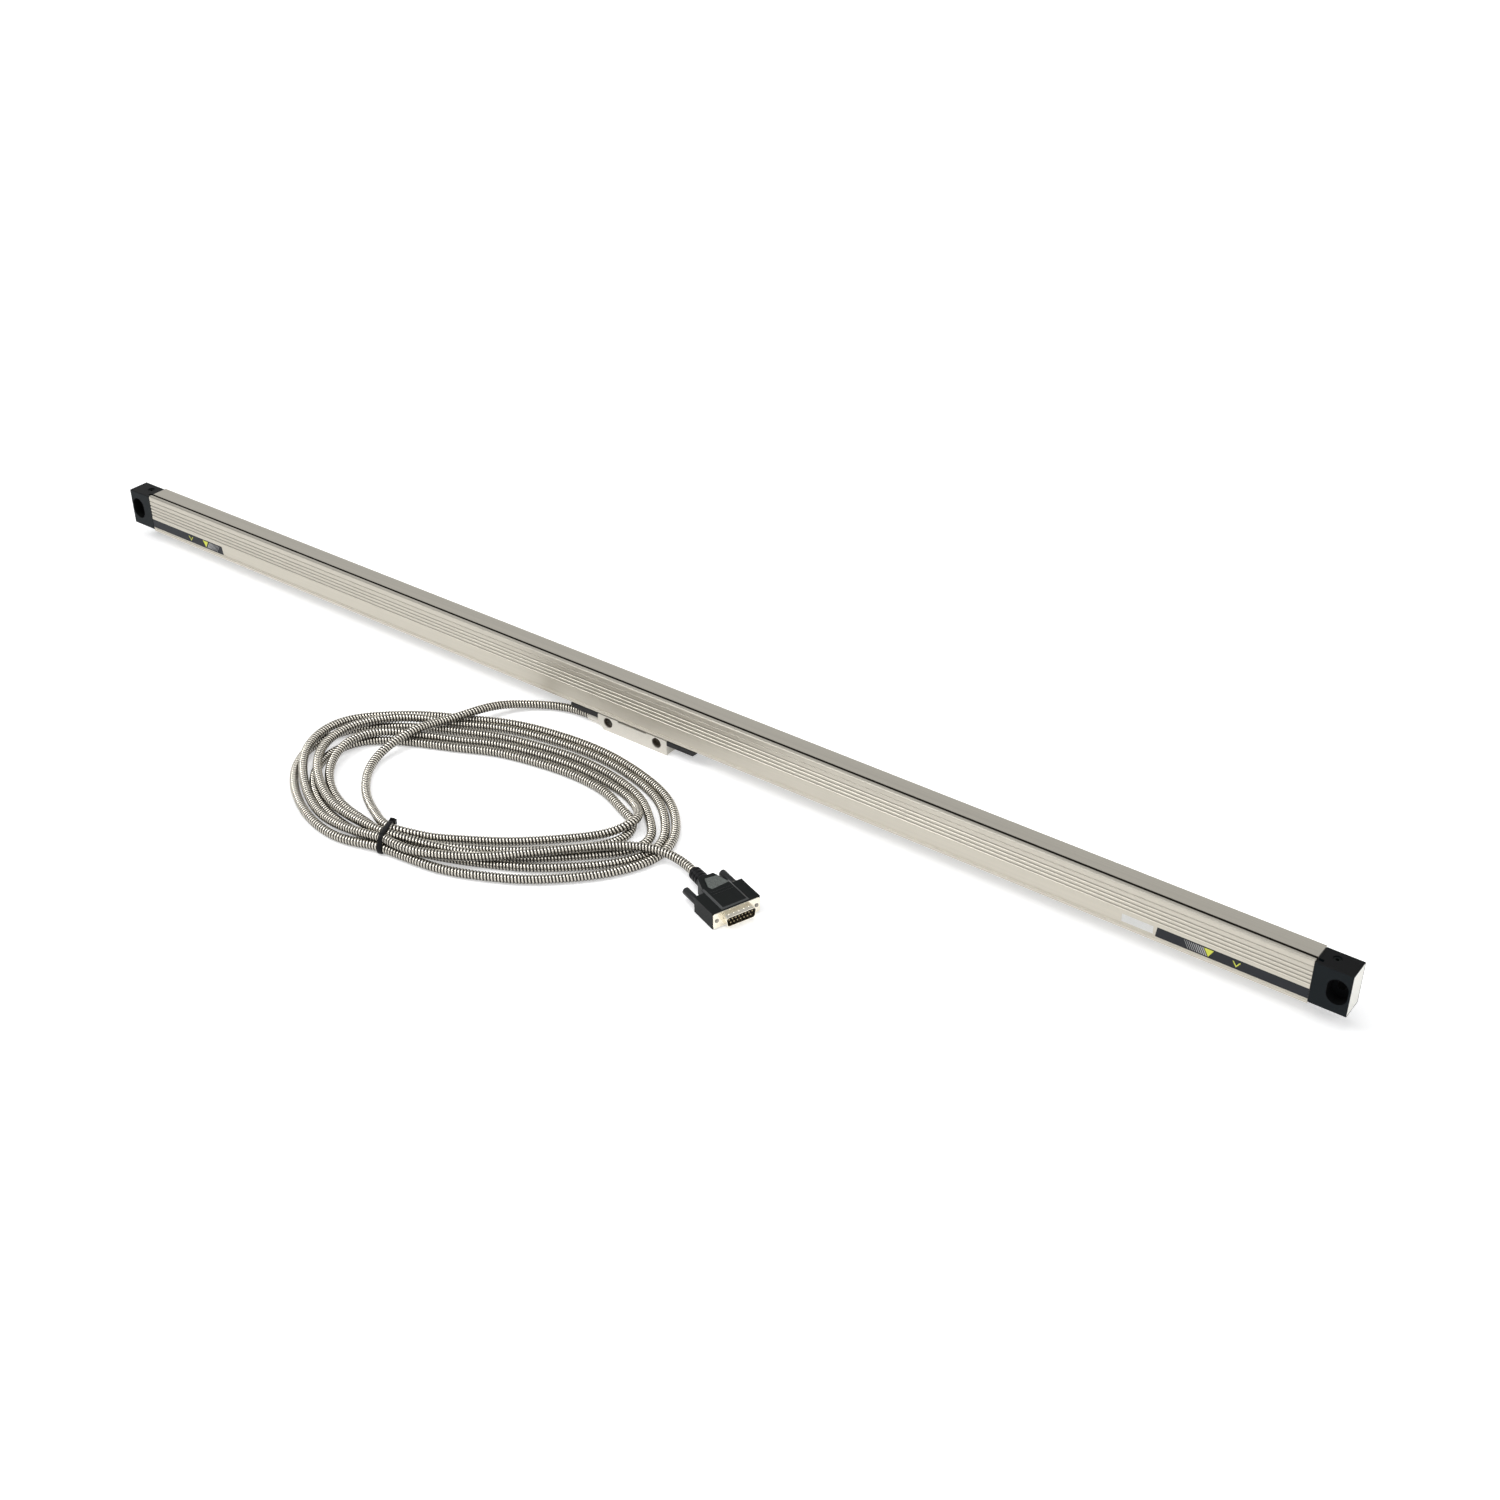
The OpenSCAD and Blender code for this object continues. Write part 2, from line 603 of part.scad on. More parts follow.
// Blade: a foot in the head block, pointed ends between the lips and a post inside the housing
module drive_blade() color([0.7, 0.7, 0.72]) {
  l = blade_l / 2;
  difference() {
    union() {
      box_at([head_x - foot_l / 2, -blade_t / 2, head_h - pad_h - foot_depth],
        [foot_l, blade_t, foot_depth + pad_h + 0.2]);
      translate([head_x, 0, head_h + 0.1]) linear_extrude(blade_top - head_h - 0.1) polygon([
        [-l, -blade_edge / 2], [-l + blade_tip, -blade_t / 2], [l - blade_tip, -blade_t / 2],
        [l, -blade_edge / 2], [l, blade_edge / 2], [l - blade_tip, blade_t / 2],
        [-l + blade_tip, blade_t / 2], [-l, blade_edge / 2]
      ]);
      box_at([head_x - l + blade_tip - post_w, -blade_t / 4, blade_top - 0.5],
        [post_w, blade_t / 2, post_top - blade_top + 0.5]);
    }
    for (s = [-1, 1]) translate([head_x + s * 12, -2, head_h - pad_h - 1.6]) rod_y(2, 4);
  }
}

module blade_pins() color([0.6, 0.6, 0.6])
  for (s = [-1, 1])
    translate([head_x + s * 12, -blade_t / 2, head_h - pad_h - 1.6]) rod_y(1.96, blade_t);

// Spring wire that pulls the carriage along without pushing it off its tracks
module coupling_wire() color([0.8, 0.78, 0.7]) {
  wire_x = head_x - blade_l / 2 + blade_tip;
  translate([wire_x, 0, lift + 13.5]) rod_x(0.8, blade_l / 2 - blade_tip - carriage_l / 2);
}

// Two ears with a hole for a roller's axle, round a roller whose axis is Z at the origin
module roller_ears(y_back) {
  for (s = [-1, 1]) translate([0, 0, s * (roller_w / 2 + 0.3 + ear_t / 2)])
    box_at([-2, y_back, -ear_t / 2], [4, -y_back + 1.6, ear_t]);
}

// Frame of the carriage: a plate in front of the glass, a bridge under it and an arm behind it
module carriage_frame() color([0.62, 0.63, 0.65])
  translate([head_x, 0, lift]) difference() {
    plate_back = plate_y + plate_t;
    union() {
      box_at([-carriage_l / 2, plate_y, plate_z], [carriage_l, plate_t, plate_h]);
      // lug that holds the coupling wire
      box_at([-carriage_l / 2, plate_back - 0.5, 12], [2.2, -plate_back + 1.3, 3]);
      box_at([-bridge_l / 2, plate_y, bridge_z], [bridge_l, arm_y + arm_t - plate_y, bridge_top - bridge_z]);
      box_at([-bridge_l / 2, arm_y, bridge_z], [bridge_l, arm_t, arm_top - bridge_z]);
      // pedestal for the detector board
      box_at([-bridge_l / 2 + 1, plate_back - 0.5, optic_z - pedestal_h / 2],
        [bridge_l - 2, detector_y - plate_back + 0.5, pedestal_h]);
      for (s = [-1, 1]) translate([s * side_x, face_y, face_z]) roller_ears(plate_back - face_y - 0.5);
      translate([0, face_y, crown_z]) roller_ears(plate_back - face_y - 0.5);
      // bosses for the edge rollers' axles
      for (s = [-1, 1]) translate([s * side_x, plate_back - 0.5, edge_z])
        rod_y(4, edge_y - roller_w / 2 - 0.3 - plate_back + 0.5);
    }
    translate([0, arm_y - 1, optic_z]) rod_y(lens_d + 0.1, arm_t + 2);
    for (p = [[-side_x, face_z], [side_x, face_z], [0, crown_z]])
      translate([p[0], face_y, p[1] - roller_w / 2 - 0.3 - ear_t - 1])
        cylinder(h = roller_w + 2 * (ear_t + 1.3), d = axle_d);
    for (s = [-1, 1]) translate([s * side_x, plate_y + 1, edge_z])
      rod_y(axle_d, edge_y - plate_y);
  }
detector_y = glass_y - reticle_gap - reticle_t - 0.7 - board_t;

module roller_axles() color([0.75, 0.75, 0.75]) translate([head_x, 0, lift]) {
  for (p = [[-side_x, face_z], [side_x, face_z], [0, crown_z]])
    translate([p[0], face_y, p[1] - roller_w / 2 - 0.3 - ear_t])
      cylinder(h = roller_w + 2 * (ear_t + 0.3), d = axle_d);
  for (s = [-1, 1]) translate([s * side_x, plate_y + 1, edge_z])
    rod_y(axle_d, edge_y + roller_w / 2 - plate_y - 1);
}

// Ball bearing used as a roller, with its axis along Z and its middle at the origin
module roller() color([0.7, 0.72, 0.74]) difference() {
  cylinder(h = roller_w, r = roller_r, center = true);
  cylinder(h = roller_w + 2, d = axle_d + 2 * axle_clear, center = true);
}
module face_roller_left() translate([head_x - side_x, face_y, lift + face_z]) roller();
module face_roller_right() translate([head_x + side_x, face_y, lift + face_z]) roller();
module face_roller_top() translate([head_x, face_y, lift + crown_z]) roller();
module edge_roller_left()
  translate([head_x - side_x, edge_y, lift + edge_z]) rotate([90, 0, 0]) roller();
module edge_roller_right()
  translate([head_x + side_x, edge_y, lift + edge_z]) rotate([90, 0, 0]) roller();

module lamp_board() color([0.1, 0.35, 0.2])
  box_at([head_x - 6, arm_y + arm_t, lift + optic_z - 4], [12, board_t, 8]);

module lamp_lens() color([0.85, 0.9, 0.95, 0.6])
  translate([head_x, arm_y + arm_t - lens_t, lift + optic_z]) rod_y(lens_d, lens_t);

module detector_board() color([0.1, 0.3, 0.25])
  box_at([head_x - bridge_l / 2 + 1, detector_y, lift + optic_z - pedestal_h / 2],
    [bridge_l - 2, board_t, pedestal_h]);

module index_reticle() color([0.8, 0.85, 0.8, 0.6])
  box_at([head_x - 6, detector_y + board_t, lift + optic_z - 2.6], [12, reticle_t + 0.7, 5.2]);

module lead_head_end() color([0.7, 0.7, 0.68]) tube(head_route, cord_d / 2);
module lead_plug_end() color([0.7, 0.7, 0.68]) tube(plug_route, cord_d / 2);

// Outline of the tied bundle, from its outer side at minus to its inner side, grown by a margin
module bundle_outline(margin) {
  w = bundle_w / 2 + margin;
  low = tie_t - margin;
  high = bundle_h + margin;
  slope = 3.4;
  polygon([[-w, low], [w - slope, low], [w, low + slope * 1.6], [w, high], [-w + slope, high],
    [-w, high - slope * 1.6]]);
}

module in_tie() translate(tie_pos) rotate([0, 0, tie_turn]) children();

// Head of the cable tie, on the inner side of the bundle, grown by a margin
module tie_lock(margin) in_tie()
  box_at([-tie_w / 2 - 0.8 - margin, bundle_w / 2 + tie_t - 0.5, bundle_h - lock_h - margin],
    [tie_w + 1.6 + 2 * margin, lock_l + margin, lock_h + 2 * margin]);

// Plan of the coil between the edges of its outermost and innermost turns
module coil_plan() difference() {
  polygon(loop_curve(beside(coil_outer, -coil_edge), 3));
  polygon(loop_curve(beside(coil_inner, coil_edge), 3));
}

module lead_coil() color([0.7, 0.7, 0.68]) difference() {
  union() {
    linear_extrude(coil_h) coil_plan();
    linear_extrude(cross_h) intersection() {
      coil_plan();
      translate(cross_pos) circle(d = cross_w);
    }
    in_tie() along_x(bundle_l) bundle_outline(0);
  }
  tie_gap();
  tie_lock(0.1);
}

// Slot in the bundle's solid that clears the strap round the passes
module tie_gap() in_tie() difference() {
  along_x(tie_w + 0.2) bundle_outline(tie_t + 3);
  along_x(tie_w + 1) bundle_outline(-0.1);
}

module cable_tie() color([0.05, 0.05, 0.05]) {
  in_tie() along_x(tie_w) difference() {
    bundle_outline(tie_t);
    bundle_outline(0);
  }
  tie_lock(0);
}

// Half of the hood, from the parting plane up to a given height, with the crown on top
module hood_half(crown) {
  half_h = hood_h / 2;
  translate([-flange_t, 0, 0]) difference() {
    union() {
      // shoulders
      box_at([-hood_l, -hood_w / 2, 0], [hood_l, hood_w, half_h]);
      // tapering neck
      linear_extrude(half_h) polygon([
        [-hood_l + 1, -crown_w / 2], [-hood_l + 1, crown_w / 2], [-hood_l - 4, crown_w / 2 - 1],
        [-hood_l - neck_hood_l, boot_d / 2 + 1], [-hood_l - neck_hood_l, -boot_d / 2 - 1],
        [-hood_l - 4, -crown_w / 2 + 1]
      ]);
      if (crown) intersection() {
        rotate([90, 0, 0]) linear_extrude(crown_w, center = true) polygon([
          [0, half_h - 0.5], [-crown_bevel, half_h + crown_rise],
          [-hood_l - 3, half_h + crown_rise], [-hood_l - 4, half_h - 0.5]
        ]);
        translate([-hood_l / 2, 0, 0]) along_x(2 * hood_l) polygon([
          [-crown_w / 2, half_h - 1], [crown_w / 2, half_h - 1], [crown_w / 2, half_h],
          [crown_w / 2 - crown_bevel, half_h + crown_rise],
          [-crown_w / 2 + crown_bevel, half_h + crown_rise], [-crown_w / 2, half_h]
        ]);
      }
    }
    // inside of the hood
    box_at([-hood_l + hood_wall, -jack_pitch / 2 + 4.5, -1],
      [hood_l - hood_wall - 1.8, jack_pitch - 9, half_h - 0.8]);
    box_at([-2.2, -shell_w / 2 + 0.3, -1], [3, shell_w - 0.6, shell_h / 2 + 0.7]);
    translate([-hood_l - neck_hood_l - 1, 0, 0]) rod_x(cord_d + 0.2, neck_hood_l + hood_wall + 2);
    // tunnels of the jackscrews
    for (s = [-1, 1]) translate([-hood_l - 1, s * jack_pitch / 2, 0])
      rod_x(jack_d + 2 * jack_clear, hood_l + 2);
    // holes of the hood's own screws
    for (s = [-1, 1]) translate([-hood_l + 3.5, s * (crown_w / 2 - 2), -1])
      cylinder(h = crown ? half_h : hood_h, d = 2.2);
  }
}

module plug_hood_upper() color([0.12, 0.12, 0.12]) in_plug() translate([0, 0, plug_z]) hood_half(true);
module plug_hood_lower() color([0.12, 0.12, 0.12])
  in_plug() translate([0, 0, plug_z]) mirror([0, 0, 1]) hood_half(false);

module plug_hood_screws() color([0.5, 0.5, 0.5]) in_plug()
  for (s = [-1, 1])
    translate([-flange_t - hood_l + 3.5, s * (crown_w / 2 - 2), plug_z - hood_h / 2 + 0.6])
      cylinder(h = hood_h - 1.8, d = 2.1);

// Ribbed boot behind the hood
module plug_boot() color([0.08, 0.08, 0.08]) in_plug()
  translate([plug_tail, 0, plug_z]) difference() {
    union() {
      rod_x(boot_d - 1.6, boot_l);
      for (i = [0 : 3]) translate([0.4 + i * 3.6, 0, 0]) rod_x(boot_d - 0.6 + i * 0.2, 2.4);
    }
    translate([-1, 0, 0]) rod_x(cord_d + 0.1, boot_l + 2);
  }

// D-shaped outline seen from the mating side, wide side up, with round corners
module d_outline(w, h, grow) {
  r = d_corner_r + grow;
  top = w / 2 - d_corner_r;
  foot = top - (h - 2 * d_corner_r) * tan(d_lean);
  up = h / 2 - d_corner_r;
  corners = [[foot, -up, -90, -d_lean], [top, up, -d_lean, 90], [-top, up, 90, 180 + d_lean],
    [-foot, -up, 180 + d_lean, 270]];
  polygon([for (c = corners) for (i = [0 : d_steps])
    let (turn = c[2] + (c[3] - c[2]) * i / d_steps) [c[0] + r * cos(turn), c[1] + r * sin(turn)]]);
}

// Steel flange with its drawn D-shaped shell
module plug_shell() color([0.85, 0.83, 0.75]) in_plug() translate([0, 0, plug_z]) difference() {
  union() {
    translate([-flange_t / 2, 0, 0]) along_x(flange_t)
      translate([-flange_w / 2, -flange_h / 2]) round_rect(flange_w, flange_h, [1.6, 1.6, 1.6, 1.6]);
    translate([shell_out / 2, 0, 0]) along_x(shell_out) d_outline(shell_w, shell_h, 0);
  }
  along_x(3 * shell_out) d_outline(shell_w, shell_h, -shell_t);
  for (s = [-1, 1]) translate([-flange_t - 1, s * jack_pitch / 2, 0]) rod_x(jack_d + 0.4, flange_t + 2);
}

module plug_insulator() color([0.05, 0.05, 0.05]) in_plug() translate([0, 0, plug_z]) difference() {
  translate([-1.2, 0, 0]) along_x(3.8) d_outline(shell_w, shell_h, -shell_t - 0.05);
  pin_spots(-4) rod_x(pin_d, 6);
}

// Places its children at each pin, at a given x
module pin_spots(x) {
  for (i = [0 : pin_n - 1])
    translate([x, (i - (pin_n - 1) / 2) * pin_pitch, pin_pitch * 0.513]) children();
  for (i = [0 : pin_n - 2])
    translate([x, (i - (pin_n - 2) / 2) * pin_pitch, -pin_pitch * 0.513]) children();
}

module plug_pins() color([0.85, 0.7, 0.35]) in_plug() translate([0, 0, plug_z])
  pin_spots(-3) rod_x(pin_d, 3 + shell_out - 0.9);

// Jackscrew with a long grooved knob, standing off the hood by a bare neck
module jackscrew(s, neck) color([0.1, 0.1, 0.1]) in_plug()
  translate([-flange_t - hood_l - neck, s * jack_pitch / 2, plug_z]) {
    rod_x(jack_d, flange_t + hood_l + neck + jack_tip);
    translate([-knob_l, 0, 0]) difference() {
      rod_x(knob_d, knob_l + 0.2);
      translate([-1, 0, -0.5]) cube([2.2, 0.9 * knob_d, 1]);
    }
  }
module jackscrew_right() jackscrew(1, jack_neck_right);
module jackscrew_left() jackscrew(-1, jack_neck_left);

scale_housing();
end_block_left();
end_block_right();
end_gasket_left();
end_gasket_right();
tongue_screws();
air_port_plugs();
front_lip();
back_lip();
glass_scale();
glass_wedge_strip();
head_block();
head_rear_cover();
head_cover_screws();
head_board();
lead_clamp_screw();
wiper_shoe_left();
wiper_shoe_right();
shoe_screws();
drive_blade();
blade_pins();
coupling_wire();
carriage_frame();
roller_axles();
face_roller_left();
face_roller_right();
face_roller_top();
edge_roller_left();
edge_roller_right();
lamp_board();
lamp_lens();
detector_board();
index_reticle();
lead_head_end();
lead_coil();
lead_plug_end();
cable_tie();
plug_hood_lower();
plug_hood_upper();
plug_hood_screws();
plug_boot();
plug_shell();
plug_insulator();
plug_pins();
jackscrew_left();
jackscrew_right();
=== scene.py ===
"""Sealed linear glass scale with an armoured lead: finishes, soft lead, small trim, light and camera."""
import math

import bmesh
import bpy
import numpy as np
from mathutils import Matrix, Vector


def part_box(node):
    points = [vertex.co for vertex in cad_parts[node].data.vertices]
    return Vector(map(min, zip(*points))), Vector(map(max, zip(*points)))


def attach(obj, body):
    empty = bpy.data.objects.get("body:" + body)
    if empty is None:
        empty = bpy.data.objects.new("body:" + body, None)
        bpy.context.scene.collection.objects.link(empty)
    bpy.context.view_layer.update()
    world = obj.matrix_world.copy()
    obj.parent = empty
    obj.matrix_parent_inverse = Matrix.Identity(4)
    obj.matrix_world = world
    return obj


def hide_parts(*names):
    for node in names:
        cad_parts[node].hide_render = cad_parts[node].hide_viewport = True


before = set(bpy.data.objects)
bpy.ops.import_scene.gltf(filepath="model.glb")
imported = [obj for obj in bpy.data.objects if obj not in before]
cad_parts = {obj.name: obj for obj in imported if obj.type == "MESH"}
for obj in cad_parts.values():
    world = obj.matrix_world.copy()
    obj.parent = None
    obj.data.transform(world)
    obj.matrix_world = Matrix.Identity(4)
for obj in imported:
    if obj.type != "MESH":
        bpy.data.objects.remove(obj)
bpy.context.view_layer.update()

bl_info = {
    "name": "Linear glass scale",
    "version": (1, 0, 0),
    "blender": (4, 5, 0),
    "location": "3D View > Sidebar > Glass scale",
    "description": "Dresses a sealed linear scale: anodised housing, armoured lead, tie, plug and marks",
    "category": "Object",
}

MM = 0.001
SCALE_BODY = "scale_body"
HEAD_BODY = "reader_head"
HOUSING_LOW, HOUSING_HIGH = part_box("scale_housing")

# ---------------------------------------------------------------- settings

class ScaleSizes(bpy.types.PropertyGroup):
    """Sizes of the pieces that this file makes."""
    lead_d: bpy.props.FloatProperty(
        name="Lead diameter", description="Outside diameter of the armoured hose",
        default=7.2 * MM, unit="LENGTH")
    rib_pitch: bpy.props.FloatProperty(
        name="Rib pitch", description="Distance from one turn of the hose's strip to the next",
        default=2.5 * MM, unit="LENGTH")
    rib_depth: bpy.props.FloatProperty(
        name="Rib depth", description="Depth of the groove between two turns of the strip",
        default=0.65 * MM, unit="LENGTH")
    tie_w: bpy.props.FloatProperty(
        name="Tie width", description="Width of the cable tie's strap",
        default=3.6 * MM, unit="LENGTH")
    tie_t: bpy.props.FloatProperty(
        name="Tie thickness", description="Thickness of the cable tie's strap",
        default=1.3 * MM, unit="LENGTH")
    left_strip: bpy.props.FloatProperty(
        name="Left strip", description="Length of the printed strip at the left-hand end",
        default=97 * MM, unit="LENGTH")
    right_strip: bpy.props.FloatProperty(
        name="Right strip", description="Length of the printed strip at the right-hand end",
        default=111 * MM, unit="LENGTH")


class ScaleColours(bpy.types.PropertyGroup):
    """Colours of the main finishes."""
    anodised: bpy.props.FloatVectorProperty(
        name="Anodised", description="Champagne anodised housing", subtype="COLOR",
        default=(0.56, 0.527, 0.456))
    end_black: bpy.props.FloatVectorProperty(
        name="End blocks", description="Black anodised end blocks", subtype="COLOR",
        default=(0.0035, 0.0045, 0.0055))
    cast: bpy.props.FloatVectorProperty(
        name="Head block", description="Blasted casting of the reading head", subtype="COLOR",
        default=(0.70, 0.67, 0.605))
    hose: bpy.props.FloatVectorProperty(
        name="Hose", description="Stainless strip of the armoured hose", subtype="COLOR",
        default=(0.76, 0.72, 0.635))
    rubber: bpy.props.FloatVectorProperty(
        name="Rubber", description="Lips, shoes and boot", subtype="COLOR",
        default=(0.006, 0.006, 0.0065))
    hood: bpy.props.FloatVectorProperty(
        name="Plug hood", description="Moulded plug hood", subtype="COLOR",
        default=(0.0046, 0.0060, 0.0058))
    marker: bpy.props.FloatVectorProperty(
        name="Marks", description="Yellow travel marks", subtype="COLOR",
        default=(0.75, 0.78, 0.10))


def sizes():
    """The sizes that are set in the sidebar."""
    return bpy.context.scene.glass_scale_sizes


def colours():
    """The colours that are set in the sidebar."""
    return bpy.context.scene.glass_scale_colours


# ---------------------------------------------------------------- shader maths

class Value:
    """A number on a socket. Python's operators on it add Math nodes."""

    def __init__(self, tree, socket):
        self.tree = tree
        self.socket = socket

    def math(self, operation, *values):
        """A Math node on these values, which are sockets or plain numbers."""
        node = self.tree.nodes.new("ShaderNodeMath")
        node.operation = operation
        for slot, value in zip(node.inputs, values):
            if isinstance(value, Value):
                self.tree.links.new(value.socket, slot)
            else:
                slot.default_value = value
        return Value(self.tree, node.outputs[0])

    def __add__(self, other):
        return self.math("ADD", self, other)

    def __radd__(self, other):
        return self.math("ADD", other, self)

    def __sub__(self, other):
        return self.math("SUBTRACT", self, other)

    def __rsub__(self, other):
        return self.math("SUBTRACT", other, self)

    def __mul__(self, other):
        return self.math("MULTIPLY", self, other)

    def __rmul__(self, other):
        return self.math("MULTIPLY", other, self)

    def __truediv__(self, other):
        return self.math("DIVIDE", self, other)

    def __rtruediv__(self, other):
        return self.math("DIVIDE", other, self)

    def __gt__(self, other):
        return self.math("GREATER_THAN", self, other)

    def __lt__(self, other):
        return self.math("LESS_THAN", self, other)

    def __abs__(self):
        return self.math("ABSOLUTE", self)

    def __mod__(self, other):
        return self.math("FLOORED_MODULO", self, other)


class Graph:
    """The nodes of a material or of the world."""

    def __init__(self, owner):
        owner.use_nodes = True
        self.tree = owner.node_tree
        self.tree.nodes.clear()

    def node(self, kind, settings=None, sockets=None):
        """A node of that kind: its settings first, then what its sockets hold or are fed by."""
        made = self.tree.nodes.new("ShaderNode" + kind)
        for name, value in (settings or {}).items():
            setattr(made, name, value)
        for name, value in (sockets or {}).items():
            self.feed(made.inputs[name], value)
        return made

    def feed(self, socket, value):
        """Links a socket to the value, or sets it."""
        if isinstance(value, Value):
            self.tree.links.new(value.socket, socket)
        elif isinstance(value, bpy.types.NodeSocket):
            self.tree.links.new(value, socket)
        elif hasattr(value, "__len__") and socket.type == "RGBA" and len(value) == 3:
            socket.default_value = (*value, 1)
        else:
            socket.default_value = value

    def value(self, socket):
        return Value(self.tree, socket)

    def ramp(self, mask, low, high):
        """0 below low, 1 above high and a straight line between."""
        made = self.node("MapRange", sockets={"Value": mask, "From Min": low, "From Max": high})
        return self.value(made.outputs["Result"])

    def blend(self, mask, first, second):
        """The first colour where the mask is 0 and the second where it is 1."""
        made = self.node("Mix", {"data_type": "RGBA"})
        self.feed(made.inputs["Factor"], mask)
        colour_slots = [s for s in made.inputs if s.type == "RGBA"]
        self.feed(colour_slots[0], first)
        self.feed(colour_slots[1], second)
        return [s for s in made.outputs if s.type == "RGBA"][0]

    def shown(self):
        """1 for rays that show the background: straight, mirrored or through glass."""
        path = self.node("LightPath")
        rays = [self.value(path.outputs["Is " + kind + " Ray"])
                for kind in ("Camera", "Glossy", "Transmission")]
        return rays[0] + rays[1] + rays[2]

    def mix_shaders(self, mask, first, second):
        """The first shader where the mask is 0 and the second where it is 1."""
        made = self.node("MixShader")
        self.feed(made.inputs[0], mask)
        self.feed(made.inputs[1], first.outputs[0])
        self.feed(made.inputs[2], second.outputs[0])
        return made


class Finish(Graph):
    """A material in the making, with a Principled shader at its end."""

    def __init__(self, name):
        self.material = bpy.data.materials.new(name)
        super().__init__(self.material)
        self.output = self.node("OutputMaterial")
        self.shader = self.node("BsdfPrincipled")
        self.feed(self.output.inputs["Surface"], self.shader.outputs[0])
        self.where = self.node("TexCoord").outputs["Object"]

    def axis(self, letter):
        """Place along an axis of the piece, in metres."""
        parts = self.node("SeparateXYZ", sockets={"Vector": self.where})
        return self.value(parts.outputs[letter])

    def facing(self, letter):
        """How far the surface's own normal points along an axis of the piece."""
        turned = self.node("NewGeometry").outputs["Normal"]
        local = self.node("VectorTransform", {"vector_type": "NORMAL", "convert_from": "WORLD",
                                              "convert_to": "OBJECT"}, {"Vector": turned})
        parts = self.node("SeparateXYZ", sockets={"Vector": local.outputs[0]})
        return self.value(parts.outputs[letter])

    def noise(self, scale, stretch=(1, 1, 1), detail=3, rough=0.55):
        """Fine random cloud, stretched along the piece's axes."""
        placed = self.node("Mapping", sockets={"Vector": self.where, "Scale": stretch})
        made = self.node("TexNoise", sockets={"Vector": placed.outputs[0], "Scale": scale,
                                              "Detail": detail, "Roughness": rough})
        return self.value(made.outputs["Fac"])

    def set(self, **values):
        """Sockets of the Principled shader, with spaces written as underscores."""
        for name, value in values.items():
            self.feed(self.shader.inputs[name.replace("_", " ")], value)

    def bump(self, height, depth, strength=0.5):
        """Raises the surface by up to the depth where the height is 1."""
        made = self.node("Bump", sockets={"Height": height, "Distance": depth, "Strength": strength})
        self.feed(self.shader.inputs["Normal"], made.outputs[0])


def shade(colour, factor):
    """The colour, darker or lighter by a factor."""
    return tuple(min(1.0, c * factor) for c in colour)


# ---------------------------------------------------------------- finishes

def anodised_finish():
    """Champagne anodised extrusion: die lines along its length, and painted shade in the slot in the top."""
    f = Finish("champagne_anodised")
    tint = tuple(colours().anodised)
    lines = f.noise(1, (4, 2600, 2600), 4, 0.6)
    clouds = f.noise(9, (1, 1, 1), 2)
    wide = f.noise(1, (0.8, 300, 300), 2)
    worn = f.ramp(lines * 0.6 + wide * 0.4, 0.35, 0.68)
    base = f.blend(worn, shade(tint, 0.90), shade(tint, 1.07))
    base = f.blend(f.ramp(clouds, 0.35, 0.7) * 0.35, base, shade(tint, 0.95))
    # the flutes' floors lie in shade, above the strips' recess and behind the front
    depth = f.axis("Y") - HOUSING_LOW[1]
    flute = f.ramp(depth, 0.22 * MM, 0.42 * MM) * (depth < 1 * MM) * (f.axis("Z") > 20 * MM)
    base = f.blend(flute * 0.75, base, shade(tint, 0.42))
    # painted shade: the inside of the top slot is made near black, less metallic and rougher
    slot_y = HOUSING_LOW[1] + 4.4 * MM
    slot = (abs(f.axis("Y") - slot_y) < 1.3 * MM) * (f.axis("Z") > HOUSING_HIGH[2] - 3.6 * MM)
    slot = slot * (f.axis("Z") < HOUSING_HIGH[2] - 0.25 * MM)
    base = f.blend(slot, base, (0.018, 0.014, 0.008))
    f.set(Base_Color=base, Metallic=0.86 - slot * 0.8, Roughness=0.36 + worn * 0.10 + slot * 0.4)
    f.bump(lines * 0.7 + wide * 0.3, 0.02 * MM, 0.35)
    return f.material


